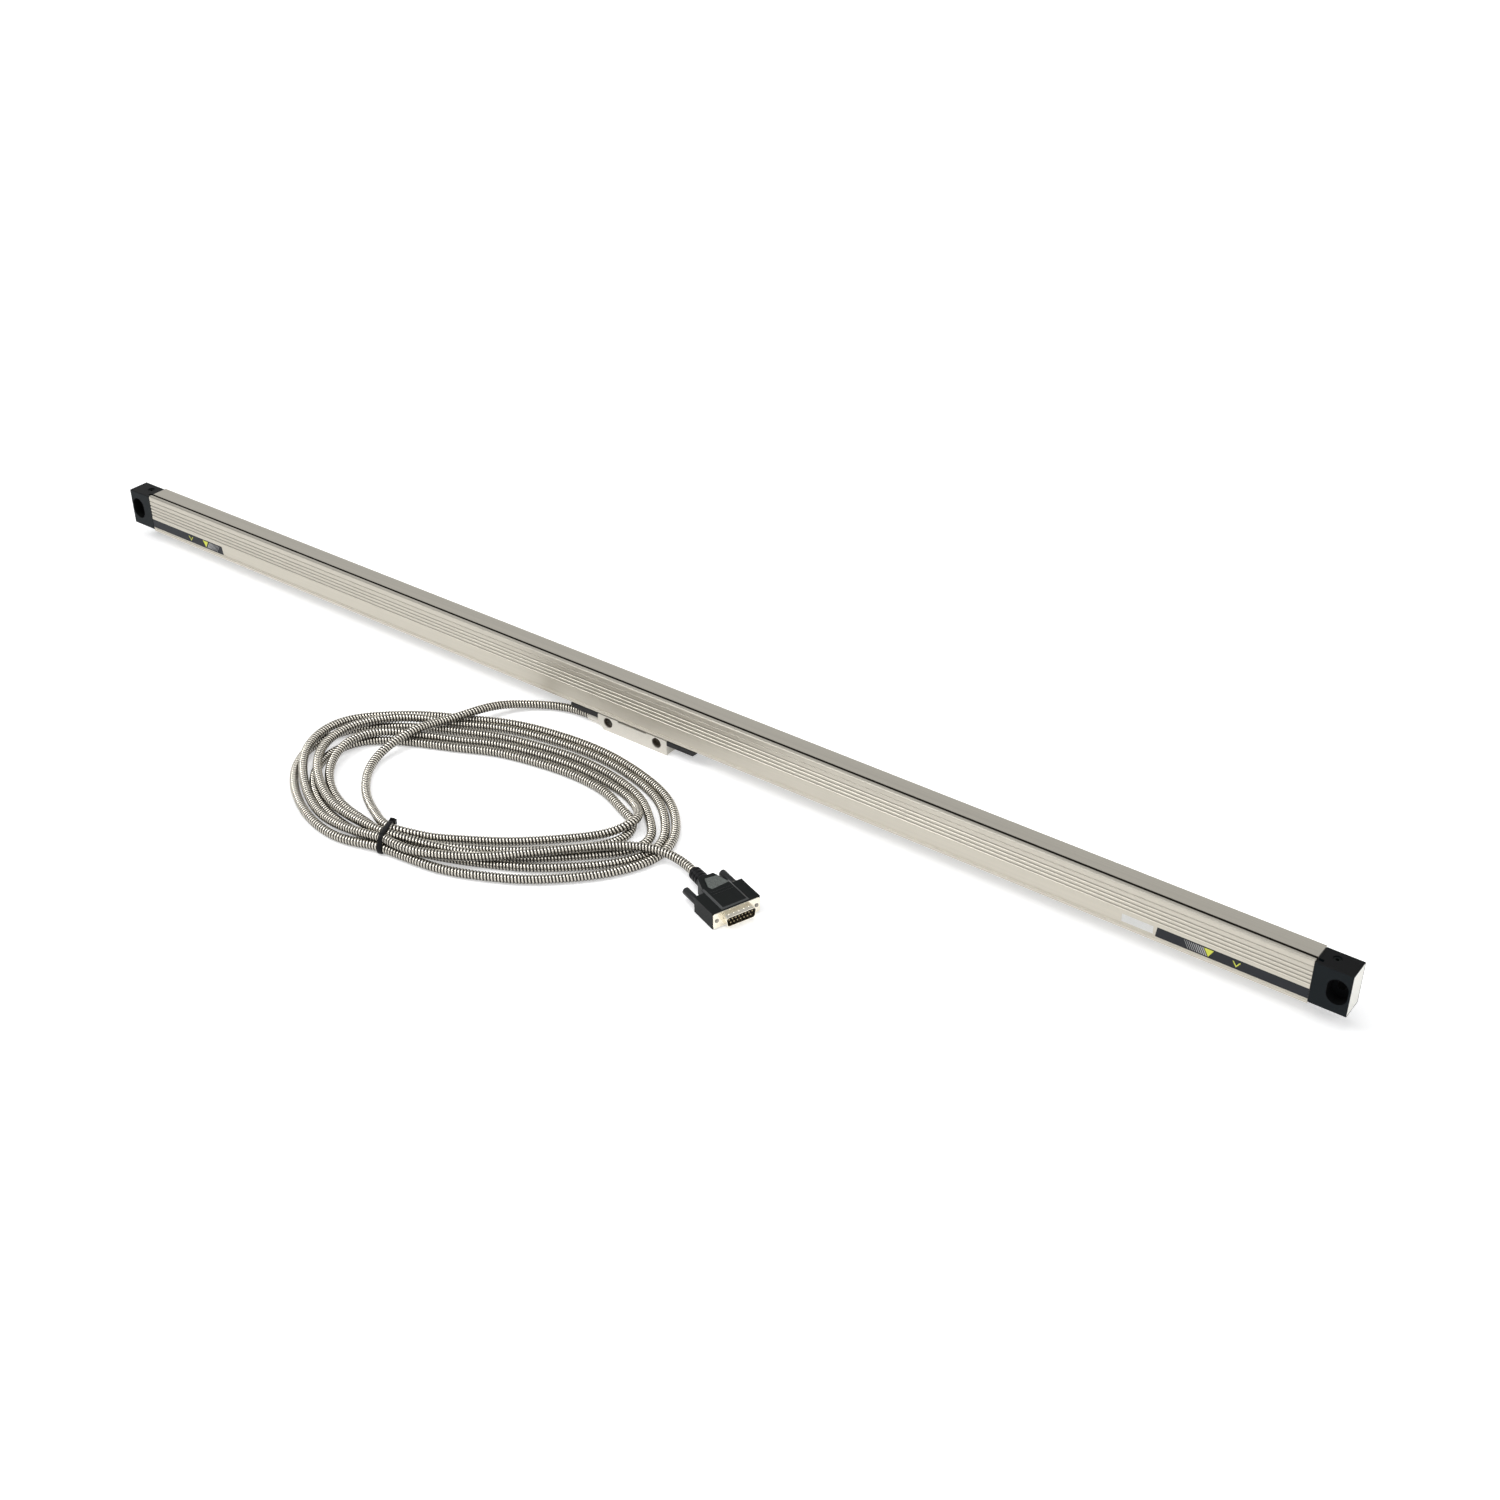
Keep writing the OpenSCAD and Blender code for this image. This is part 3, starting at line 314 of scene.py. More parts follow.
def end_block_finish():
    """Black anodised block with a fine grain; painted shade on its top and in the screw's recess, a painted
    blue-grey reflection on its front, and a painted highlight on its end face, with turning rings.
    """
    f = Finish("black_anodised_block")
    tint = tuple(colours().end_black)
    grain = f.noise(2600, (1, 1, 1), 3)
    clouds = f.noise(60, (1, 1, 1), 2)
    face = f.ramp(abs(f.facing("X")), 0.985, 0.999)
    outer = f.ramp(abs(f.axis("X")), 603.6 * MM, 603.8 * MM)
    edge_y = f.ramp(abs(f.axis("Y") + 0.25 * MM), 9.1 * MM, 9.3 * MM)
    edge_z = f.ramp(abs(f.axis("Z") - 32.5 * MM), 16.1 * MM, 16.3 * MM)
    # a black rim is left round the painted highlight on the end face
    end_face_highlight = face * outer * (1 - edge_y) * (1 - edge_z)
    swirl = f.node("TexWave", {"wave_type": "RINGS", "rings_direction": "X"},
                   {"Vector": f.where, "Scale": 900, "Distortion": 1.5})
    turned = f.value(swirl.outputs["Fac"])
    black = f.blend(f.ramp(grain, 0.35, 0.75), shade(tint, 0.7), shade(tint, 1.5))
    black = f.blend(f.ramp(clouds, 0.4, 0.8) * 0.5, black, (0.010, 0.013, 0.015))
    # painted shade: faces that point up are made darker
    top = f.ramp(f.facing("Z"), 0.90, 0.98)
    black = f.blend(top * 0.85, black, (0.0008, 0.0009, 0.0010))
    # painted reflection: faces that point to the front are tinted a lighter blue-grey
    front = f.ramp(0 - f.facing("Y"), 0.90, 0.98)
    black = f.blend(front * 0.6, black, (0.0022, 0.0068, 0.0096))
    # painted shade inside the screw's recess: between front and back, and within its width and height
    depth = f.ramp(f.axis("Y"), -10.2 * MM, -9.4 * MM) * (1 - f.ramp(f.axis("Y"), 9.2 * MM, 9.6 * MM))
    beside = f.ramp(abs(abs(f.axis("X")) - 595.2 * MM), 7.6 * MM, 7.8 * MM)
    above = f.ramp(abs(f.axis("Z") - 32.8 * MM), 10.3 * MM, 10.5 * MM)
    recess = depth * (1 - beside) * (1 - above)
    black = f.blend(recess * 0.85, black, (0.0006, 0.0007, 0.0009))
    # painted highlight: the end face is made near white and part metal, with turning rings
    bright = f.blend(turned, (0.86, 0.85, 0.80), (0.93, 0.92, 0.86))
    f.set(Base_Color=f.blend(end_face_highlight, black, bright), Metallic=end_face_highlight * 0.55,
          Roughness=0.42 + grain * 0.12 + recess * 0.35 - end_face_highlight * 0.05, Specular_IOR_Level=0.13)
    f.bump(grain, 0.03 * MM, 0.35)
    return f.material


def rubber_finish(name, tint, grain_scale=1800, rough=0.6, depth=0.03):
    """Dull rubber or soft plastic with a fine grain and a little dust."""
    f = Finish(name)
    grain = f.noise(grain_scale, (1, 1, 1), 4)
    dust = f.noise(90, (1, 1, 1), 3)
    base = f.blend(f.ramp(grain, 0.3, 0.7), shade(tint, 0.75), shade(tint, 1.5))
    base = f.blend(f.ramp(dust, 0.55, 0.85) * 0.12, base, (0.03, 0.03, 0.028))
    f.set(Base_Color=base, Roughness=rough - 0.1 + grain * 0.2, Specular_IOR_Level=0.16)
    f.bump(grain, depth * MM, 0.5)
    return f.material


def hood_finish():
    """Moulded plug hood: fine spark grain, and edges and bevels a little smoother, with a painted reflection
    that makes them pale.
    """
    f = Finish("hood_plastic")
    tint = tuple(colours().hood)
    grain = f.noise(1700, (1, 1, 1), 4)
    tilt = f.facing("Z")
    # painted reflection: faces that slope up, the bevels and broken edges, are made pale grey
    bevel = f.ramp(tilt, 0.66, 0.72) * (1 - f.ramp(tilt, 0.92, 0.97))
    base = f.blend(f.ramp(grain, 0.3, 0.7), shade(tint, 0.75), shade(tint, 1.4))
    base = f.blend(bevel * (0.55 + grain * 0.5), base, (0.09, 0.094, 0.094))
    f.set(Base_Color=base, Roughness=0.42 + grain * 0.16 - bevel * 0.12, Specular_IOR_Level=0.13)
    f.bump(grain, 0.03 * MM, 0.4)
    return f.material


def jackscrew_finish(name, shank_from):
    """Steel screw with a black moulded knob, ribbed along its length, with painted shade in the ribs'
    valleys.
    """
    f = Finish(name)
    c, s = math.cos(PLUG_TURN), math.sin(PLUG_TURN)
    along = (f.axis("X") - PLUG_SPOT[0] * MM) * c + (f.axis("Y") - PLUG_SPOT[1] * MM) * s
    steel = along > shank_from * MM
    grain = f.noise(900, (1, 1, 1), 3)
    rings = abs((along / (0.5 * MM)) % 1 - 0.5) * 2
    knob = f.blend(f.ramp(grain, 0.3, 0.7), (0.004, 0.0045, 0.005), (0.009, 0.010, 0.012))
    # painted shade: the steel is made dark in the valleys between the rings
    metal = f.blend(rings * steel, (0.08, 0.075, 0.065), (0.40, 0.38, 0.33))
    f.set(Base_Color=f.blend(steel, knob, metal), Metallic=steel,
          Roughness=0.40 - steel * 0.1 + grain * 0.08, Specular_IOR_Level=0.35)
    f.bump(rings * steel + grain * 0.2, 0.05 * MM, 0.6)
    return f.material


def cast_finish():
    """Blasted casting: silver white with fine pits, and painted shade, warm brown, inside its two screw
    holes.
    """
    f = Finish("blasted_casting")
    tint = tuple(colours().cast)
    pits = f.noise(3200, (1, 1, 1), 3)
    soft = f.noise(260, (1, 1, 1), 3)
    base = f.blend(f.ramp(pits, 0.3, 0.7), shade(tint, 0.86), shade(tint, 1.10))
    base = f.blend(f.ramp(soft, 0.4, 0.75) * 0.4, base, shade(tint, 0.90))
    # painted shade inside the two screw holes: warm brown, and a little smoother
    beside = abs(abs(f.axis("X") - 3.5 * MM) - 25 * MM)
    above = f.axis("Z") - 8.1 * MM
    apart = f.ramp(beside * beside + above * above, (4.6 * MM) ** 2, (4.7 * MM) ** 2)
    depth = f.ramp(f.axis("Y"), -9.9 * MM, -8.8 * MM) * (1 - f.ramp(f.axis("Y"), 9.2 * MM, 9.6 * MM))
    hole_shade = depth * (1 - apart)
    base = f.blend(hole_shade * (0.6 + soft * 0.5), base, (0.095, 0.066, 0.040))
    f.set(Base_Color=base, Metallic=0.55, Roughness=0.42 + pits * 0.16 - hole_shade * 0.12)
    f.bump(pits * 0.7 + soft * 0.3, 0.05 * MM, 0.55)
    return f.material


def steel_finish(name, tint, rough=0.3, brush=(1, 1, 1), scale=1400, metal=1.0):
    """Bright metal with fine machining marks."""
    f = Finish(name)
    marks = f.noise(scale, brush, 3)
    spots = f.noise(120, (1, 1, 1), 2)
    base = f.blend(f.ramp(marks, 0.3, 0.7), shade(tint, 0.88), shade(tint, 1.08))
    base = f.blend(f.ramp(spots, 0.5, 0.8) * 0.3, base, shade(tint, 0.8))
    f.set(Base_Color=base, Metallic=metal, Roughness=rough - 0.05 + marks * 0.12)
    f.bump(marks, 0.01 * MM, 0.3)
    return f.material


def hose_finish():
    """Interlocked stainless strip: bright crowns, and painted shade in the grooves and on the underside."""
    f = Finish("armoured_hose_steel")
    tint = tuple(colours().hose)
    depth = f.value(f.node("Attribute", {"attribute_name": "groove"}).outputs["Fac"])
    scratch = f.noise(2400, (1, 1, 1), 3)
    stain = f.noise(70, (1, 1, 1), 2)
    crown = f.blend(f.ramp(scratch, 0.3, 0.7), shade(tint, 0.86), shade(tint, 1.10))
    crown = f.blend(f.ramp(stain, 0.45, 0.8) * 0.4, crown, shade(tint, 0.80))
    # painted shade: the grooves are made near black, less metallic and rougher
    dark = f.ramp(depth, 0.15, 0.6)
    # painted shade: the lower side of the hose is made darker
    under = 1 - f.ramp(f.facing("Z"), -0.25, 0.45)
    crown = f.blend(under * 0.75, crown, shade(tint, 0.22))
    base = f.blend(dark, crown, (0.014, 0.011, 0.007))
    f.set(Base_Color=base, Metallic=1 - dark * 0.6, Roughness=0.17 + scratch * 0.08 + dark * 0.3)
    f.bump(scratch, 0.012 * MM, 0.4)
    return f.material


def board_finish():
    """Green circuit board with copper tracks under the lacquer."""
    f = Finish("circuit_board")
    tracks = f.node("TexBrick", {"offset": 0.37}, {
        "Vector": f.where, "Scale": 420, "Mortar Size": 0.08, "Color1": (0, 0, 0),
        "Color2": (0.25, 0.25, 0.25), "Mortar": (1, 1, 1)})
    lines = f.value(tracks.outputs["Fac"])
    weave = f.noise(2600, (1, 1, 1), 2)
    base = f.blend(lines, (0.008, 0.07, 0.028), (0.03, 0.16, 0.06))
    f.set(Base_Color=base, Roughness=0.3 + weave * 0.15, Coat_Weight=0.4)
    f.bump(lines * 0.8 + weave * 0.2, 0.03 * MM, 0.4)
    return f.material


def glass_finish(name, tint, ruled):
    """Clear glass; the scale and the reticle also carry a fine ruled chrome track."""
    f = Finish(name)
    haze = f.noise(900, (1, 1, 1), 2)
    if ruled:
        lines = f.ramp(abs((f.axis("X") / (0.4 * MM)) % 1 - 0.5), 0.2, 0.3)
        middle = 1 - f.ramp(abs(f.axis("Z") - 36.2 * MM), 2.4 * MM, 2.6 * MM)
        front = 1 - f.ramp(f.facing("Y"), -0.9, -0.8)
        track = lines * middle * front
        f.set(Base_Color=f.blend(track, tint, (0.35, 0.36, 0.38)), Metallic=track * 0.8,
              Roughness=0.05 + haze * 0.05)
    else:
        f.set(Base_Color=f.blend(haze, tint, shade(tint, 0.92)), Roughness=0.04 + haze * 0.05)
    f.set(Transmission_Weight=0.85, IOR=1.5)
    return f.material


def print_finish(name, tint):
    """Printed polyester film."""
    f = Finish(name)
    weave = f.noise(3000, (1, 1, 1), 2)
    base = f.blend(f.ramp(weave, 0.3, 0.7), shade(tint, 0.9), shade(tint, 1.08))
    f.set(Base_Color=base, Roughness=0.42 + weave * 0.12, Specular_IOR_Level=0.25)
    f.bump(weave, 0.01 * MM, 0.3)
    return f.material


def kept(name, make, *facts):
    """A finish by name, made the first time that it is asked for."""
    return bpy.data.materials.get(name) or make(*facts)


def print_ink(name, tint):
    """Printed film in one colour."""
    return kept(name, print_finish, name, tint)


def black_rubber():
    return kept("black_rubber", rubber_finish, "black_rubber", tuple(colours().rubber))


def hood_plastic():
    return kept("hood_plastic", hood_finish)


def inlay_plastic():
    return kept("inlay_plastic", rubber_finish, "inlay_plastic", (0.105, 0.115, 0.108), 1300, 0.45, 0.04)


def tie_nylon():
    return kept("tie_nylon", rubber_finish, "tie_nylon", (0.005, 0.005, 0.0052), 1200, 0.38, 0.02)


def screw_steel():
    return kept("screw_steel", steel_finish, "screw_steel", (0.50, 0.50, 0.49), 0.32)


def bright_steel():
    return kept("bright_steel", steel_finish, "bright_steel", (0.66, 0.66, 0.65), 0.24)


def machined_alloy():
    return kept("machined_alloy", steel_finish, "machined_alloy", (0.62, 0.63, 0.64), 0.38, (1, 6, 6))


def plug_nickel():
    return kept("plug_nickel", steel_finish, "plug_nickel", (0.86, 0.81, 0.69), 0.22)


# ---------------------------------------------------------------- making meshes

def dress(names, material):
    """Gives CAD nodes a finish, which follows the shape that they already have."""
    for name in [names] if isinstance(names, str) else names:
        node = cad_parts[name]
        if not node.material_slots:
            node.data.materials.append(material)
        for slot in node.material_slots:
            slot.material = material


def soften(names, width):
    """Breaks the sharp edges of CAD nodes."""
    for name in names:
        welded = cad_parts[name].modifiers.new("joined_faces", "WELD")
        welded.merge_threshold = 0.001 * MM
        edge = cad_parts[name].modifiers.new("broken_edges", "BEVEL")
        edge.width = width
        edge.segments = 2
        edge.limit_method = "ANGLE"
        edge.angle_limit = math.radians(35)


def link(name, mesh, material, body):
    """Puts a new piece into the scene, on the body that it moves with."""
    piece = bpy.data.objects.new(name, mesh)
    bpy.context.scene.collection.objects.link(piece)
    piece.data.materials.append(material)
    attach(piece, body)
    return piece


def mesh_of(name, points, faces, smooth=True):
    """A mesh from points and faces, smooth or flat."""
    mesh = bpy.data.meshes.new(name)
    mesh.from_pydata([tuple(p) for p in points], [], faces)
    mesh.polygons.foreach_set("use_smooth", [smooth] * len(mesh.polygons))
    mesh.update()
    return mesh


def plate(name, outline, low, high, edge=0.0):
    """A flat plate with an XY outline between two heights, its top edge broken by edge."""
    shape = bmesh.new()
    ring = [shape.verts.new((x, y, low)) for x, y in outline]
    bottom = shape.faces.new(ring)
    grown = bmesh.ops.extrude_face_region(shape, geom=[bottom])
    raised = [v for v in grown["geom"] if isinstance(v, bmesh.types.BMVert)]
    for vert in raised:
        vert.co.z = high
    bmesh.ops.recalc_face_normals(shape, faces=shape.faces)
    if edge:
        rim = [e for e in shape.edges if all(abs(v.co.z - high) < 1e-9 for v in e.verts)]
        bmesh.ops.bevel(shape, geom=rim, offset=edge, segments=2, affect="EDGES", profile=0.5)
    mesh = bpy.data.meshes.new(name)
    shape.to_mesh(mesh)
    shape.free()
    return mesh


# ---------------------------------------------------------------- the lead's route

# Points of the lead's route in millimetres: out of the head, and from the tie to the plug
HEAD_ROUTE = [
    (-36.5, -5.25, 5), (-43.5, -5.25, 5), (-57, -5.6, 4.6), (-74, -9, 4.2), (-88, -17, 4.4),
    (-101, -28, 5.5), (-110, -42, 8.5), (-116, -60, 11), (-122, -77, 11), (-128, -91, 11),
    (-133, -104, 11), (-137, -120, 11), (-139, -135, 9.5), (-140, -150, 6.5), (-134, -168, 4),
    (-124, -181, 3.6), (-110, -195, 4), (-95, -204.5, 5.5), (-79, -213, 8)]
PLUG_ROUTE = [
    (-34, -236, 11), (-10, -228, 11), (8, -219, 11), (25, -207.5, 11), (40, -193.5, 11),
    (54, -179, 11), (68, -164.5, 11), (82, -150.5, 11), (97, -138, 11), (112, -129, 10.8),
    (126, -124.5, 10), (138, -123, 8.6)]
# Inner and outer centrelines of the coil, counted from the tie
COIL_INNER = [
    (-25, -203), (13, -180), (37, -161), (68, -132), (84, -118), (84, -101), (67, -98), (50, -88),
    (29, -81.5), (-12, -80), (-67, -90), (-100, -105), (-133, -124), (-157, -142), (-163, -166),
    (-148, -193), (-116, -212), (-84, -218)]
COIL_OUTER = [
    (2, -231), (45, -213), (70, -197), (101, -167), (117, -140), (121, -118), (112, -92), (81, -62),
    (30, -45), (-20, -41), (-80, -50), (-125, -70), (-165, -92), (-197, -135), (-196, -178),
    (-172, -212), (-130, -239), (-88, -247)]
# Where the six passes lie in the tie: distance towards the coil's inside, and height
TIE_PASSES = [(8.75, 10.96), (5.25, 4.9), (-1.75, 4.9), (1.75, 10.96), (-8.75, 4.9), (-5.25, 10.96)]
# How far out each turn lies between the two lines, as (station, share) pairs
TURN_SHARES = [
    [(5, 0), (6, 0.27), (7, 0.32), (8, 0.25), (12, 0.25), (14, 0.12), (17, 0.08)],
    [(3, 0.25), (4, 0.05), (5, -0.22), (6, 0), (11, 0), (13, 0.2), (15, 0.5), (17, 0.55)],
    [(0, 0.6), (3, 0.75), (5, 0.8), (11, 0.8), (13, 0.62), (15, 0.38), (17, 0.34)],
    [(0, 0.42), (4, 0.5), (10, 0.5), (12, 0.6), (14, 0.92), (15, 1)],
    [(12, 1), (14, 0.84), (15, 0.75), (17, 0.72)]]
# Where each turn climbs over the others, as (station, height) pairs
TURN_CLIMBS = [
    [(2, 3.5), (3, 5), (4, 9.5), (5, 10.6), (6, 8.5), (7, 3.5), (11, 3.5), (12, 8), (13, 10.6),
     (14, 9), (15, 5), (16, 4)],
    [(0, 3.5)],
    [(11, 3.5), (12, 9.5), (13, 10.6), (15, 10.6), (16, 9), (17, 9.5)],
    [(0, 7), (1, 3.5)],
    [(12, 4), (13, 9.5), (14, 10.6), (15, 8), (16, 5.5), (17, 8)]]
TIE_SPOT = (-53.5, -230.0)
TIE_TURN = math.radians(22)
PLUG_SPOT = (211, -148)
PLUG_TURN = math.radians(-20.7)
PLUG_HEIGHT = 7.3
REST_HEIGHT = 3.6
# Room that a pass takes up, steps of the line that settles and of the final line, the hose's half width
PASS_ROOM = 7.2
SETTLE_STEP = 5.0
LEAD_STEP = 0.8
HOSE_RADIUS = 3.5
# One turn of the hose's strip: place along the turn, and depth from the crown, 0, to the groove, 1
STRIP_PROFILE = [(0.0, 1.0), (0.10, 0.0), (0.50, 0.0), (0.64, 1.0)]


def in_tie(inward, height, along=0.0):
    """A point near the tie: towards the coil's inside, up, and along the bundle."""
    c, s = math.cos(TIE_TURN), math.sin(TIE_TURN)
    return (TIE_SPOT[0] + c * along - s * inward, TIE_SPOT[1] + s * along + c * inward, height)


def in_plug(x, y=0.0, z=PLUG_HEIGHT):
    """A point in the plug's own directions, counted from the middle of its flange."""
    c, s = math.cos(PLUG_TURN), math.sin(PLUG_TURN)
    return (PLUG_SPOT[0] + c * x - s * y, PLUG_SPOT[1] + s * x + c * y, z)


def along_turn(pairs, station):
    """The value at a station of the turn, between those that are given."""
    stations, values = zip(*pairs)
    return float(np.interp(station, stations, values))


def lead_points():
    """The chosen points of the whole lead, from the head to the plug."""
    points = list(HEAD_ROUTE)
    for shares, climbs, start in zip(TURN_SHARES, TURN_CLIMBS, TIE_PASSES):
        points.append(in_tie(*start))
        for station, (near, far) in enumerate(zip(COIL_INNER, COIL_OUTER)):
            part = along_turn(shares, station)
            points.append((near[0] + (far[0] - near[0]) * part,
                           near[1] + (far[1] - near[1]) * part, along_turn(climbs, station)))
    points.append(in_tie(*TIE_PASSES[-1]))
    return points + PLUG_ROUTE + [in_plug(-65), in_plug(-57), in_plug(-22)]


def spaced(line, step):
    """The same line with points at even distances."""
    run = np.r_[0, np.cumsum(np.linalg.norm(np.diff(line, axis=0), axis=1))]
    stops = np.linspace(0, run[-1], int(round(run[-1] / step)) + 1)
    return np.stack([np.interp(stops, run, line[:, k]) for k in range(3)], 1)


def smooth_line(points, parts=16):
    """A smooth curve through the points."""
    p = np.array(points, float)
    p = np.vstack([2 * p[0] - p[1], p, 2 * p[-1] - p[-2]])
    t = np.linspace(0, 1, parts, endpoint=False)[:, None]
    spans = [0.5 * (2 * b + (c - a) * t + (2 * a - 5 * b + 4 * c - d) * t ** 2
                    + (3 * b - a - 3 * c + d) * t ** 3)
             for a, b, c, d in zip(p, p[1:], p[2:], p[3:])]
    return np.vstack(spans + [p[-2:-1]])


def settled(line, width, rounds=120):
    """Lets the passes of the lead push each other clear, while it stays stiff and on the floor."""
    stiffness, pull, push_share = 0.1, 0.01, 1.5
    start, count = line.copy(), len(line)
    first, second = np.triu_indices(count, int(3 * width / SETTLE_STEP) + 1)
    close = np.linalg.norm(start[first] - start[second], axis=1) < 3 * width
    first, second = first[close], second[close]
    # both ends and the six passes through the tie stay where they are
    held = [0, 1, 2, 3] + list(range(count - 9, count))
    held += [int(np.argmin(np.linalg.norm(start - np.array(in_tie(*spot)), axis=1)))
             for spot in TIE_PASSES]
    for _ in range(rounds):
        moved = line.copy()
        bend = 4 * (line[1:-3] + line[3:-1]) - line[:-4] - line[4:] - 6 * line[2:-2]
        moved[2:-2] += stiffness * bend
        moved += (start - line) * pull
        apart = moved[first] - moved[second]
        gap = np.sqrt((apart ** 2).sum(1))
        hit = gap < width
        a, b = first[hit], second[hit]
        push = 0.5 * (width - gap[hit])[:, None] * apart[hit] / np.maximum(gap[hit], 1e-6)[:, None]
        total, hits = np.zeros_like(moved), np.zeros(count)
        np.add.at(total, a, push)
        np.add.at(total, b, -push)
        np.add.at(hits, a, 1)
        np.add.at(hits, b, 1)
        moved += push_share * total / np.maximum(hits, 1)[:, None]
        moved[:, 2] = np.maximum(moved[:, 2], REST_HEIGHT)
        moved[held] = start[held]
        line = moved
    return line


def lead_line(step):
    """The lead's centreline in millimetres, with points at even distances."""
    coarse = settled(spaced(smooth_line(lead_points()), SETTLE_STEP), PASS_ROOM)
    return spaced(smooth_line(coarse, 12), step)


def tube_faces(rows, turn_rows, sides):
    """Faces of a tube whose rows climb: the end of a row meets the start of the row one turn on."""
    faces = []
    for low in range(0, (rows - 1) * sides, sides):
        faces += [(low + k, low + k + 1, low + sides + k + 1, low + sides + k) for k in range(sides - 1)]
    for low in range(0, (rows - turn_rows - 1) * sides, sides):
        turn_on = low + turn_rows * sides
        faces.append((low + sides - 1, turn_on, turn_on + sides, low + 2 * sides - 1))
    first_centre, last_centre = rows * sides, rows * sides + 1
    head = list(range(sides)) + [i * sides for i in range(turn_rows, 0, -1)]
    tail = [(rows - 1) * sides + k for k in range(sides)]
    tail += [(rows - i) * sides - 1 for i in range(1, turn_rows + 1)]
    faces += [(b, a, first_centre) for a, b in zip(head, head[1:] + head[:1])]
    faces += [(a, b, last_centre) for a, b in zip(tail, tail[1:] + tail[:1])]
    return faces


def ribbed_tube(name, line, radius, pitch, depth, sides=12):
    """A hose wound from profiled strip: its ribs climb like a thread. Lengths in metres."""
    along = np.gradient(line, axis=0)
    along /= np.linalg.norm(along, axis=1)[:, None]
    side = np.cross([0, 0, 1], along)
    side /= np.linalg.norm(side, axis=1)[:, None]
    up = np.cross(along, side)
    run = np.arange(len(line)) * float(np.linalg.norm(line[1] - line[0]))
    turns = int(run[-1] / pitch) - 1
    starts = [(i + place) * pitch for i in range(turns) for place, _ in STRIP_PROFILE]
    grooves = np.array([down for _ in range(turns) for _, down in STRIP_PROFILE])
    columns = np.arange(sides)
    spots = np.array(starts)[:, None] + columns[None, :] / sides * pitch
    angle = (math.tau * columns / sides)[None, :, None]
    centre, level, upright = [
        np.stack([np.interp(spots, run, given[:, k]) for k in range(3)], -1) for given in (line, side, up)]
    reach = (radius - depth * grooves)[:, None, None]
    skin = centre + reach * (np.cos(angle) * level + np.sin(angle) * upright)
    points = np.vstack([skin.reshape(-1, 3), centre[0, 0], centre[-1, -1]])
    mesh = mesh_of(name, points, tube_faces(len(starts), len(STRIP_PROFILE), sides))
    mark = mesh.attributes.new("groove", "FLOAT", "POINT")
    mark.data.foreach_set("value", np.r_[np.repeat(grooves, sides), 1, 1].astype(np.float32))
    return mesh


# ---------------------------------------------------------------- operators

CAMERA_SPOT = (0.8813, -1.0442, 0.8781)
CAMERA_TURN = (math.radians(56.77), 0, math.radians(36.32))
CAMERA_LENS = 48.04
# Soft lamps: name, place, aim, width in metres and power in watts
LAMPS = [
    ("key_softbox", (-1.3, -1.6, 2.4), (0, -0.05, 0), 1.3, 37),
    ("top_softbox", (0.1, -0.25, 2.3), (0, -0.1, 0), 1.8, 20),
    ("fill_softbox", (1.9, -1.2, 1.6), (0.1, -0.1, 0), 1.2, 12),
    ("back_softbox", (2.3, 1.9, 2.2), (0, 0, 0), 1.4, 9)]
FLOOR_CORNERS = [(-9, -9, 0), (9, -9, 0), (9, 9, 0), (-9, 9, 0)]


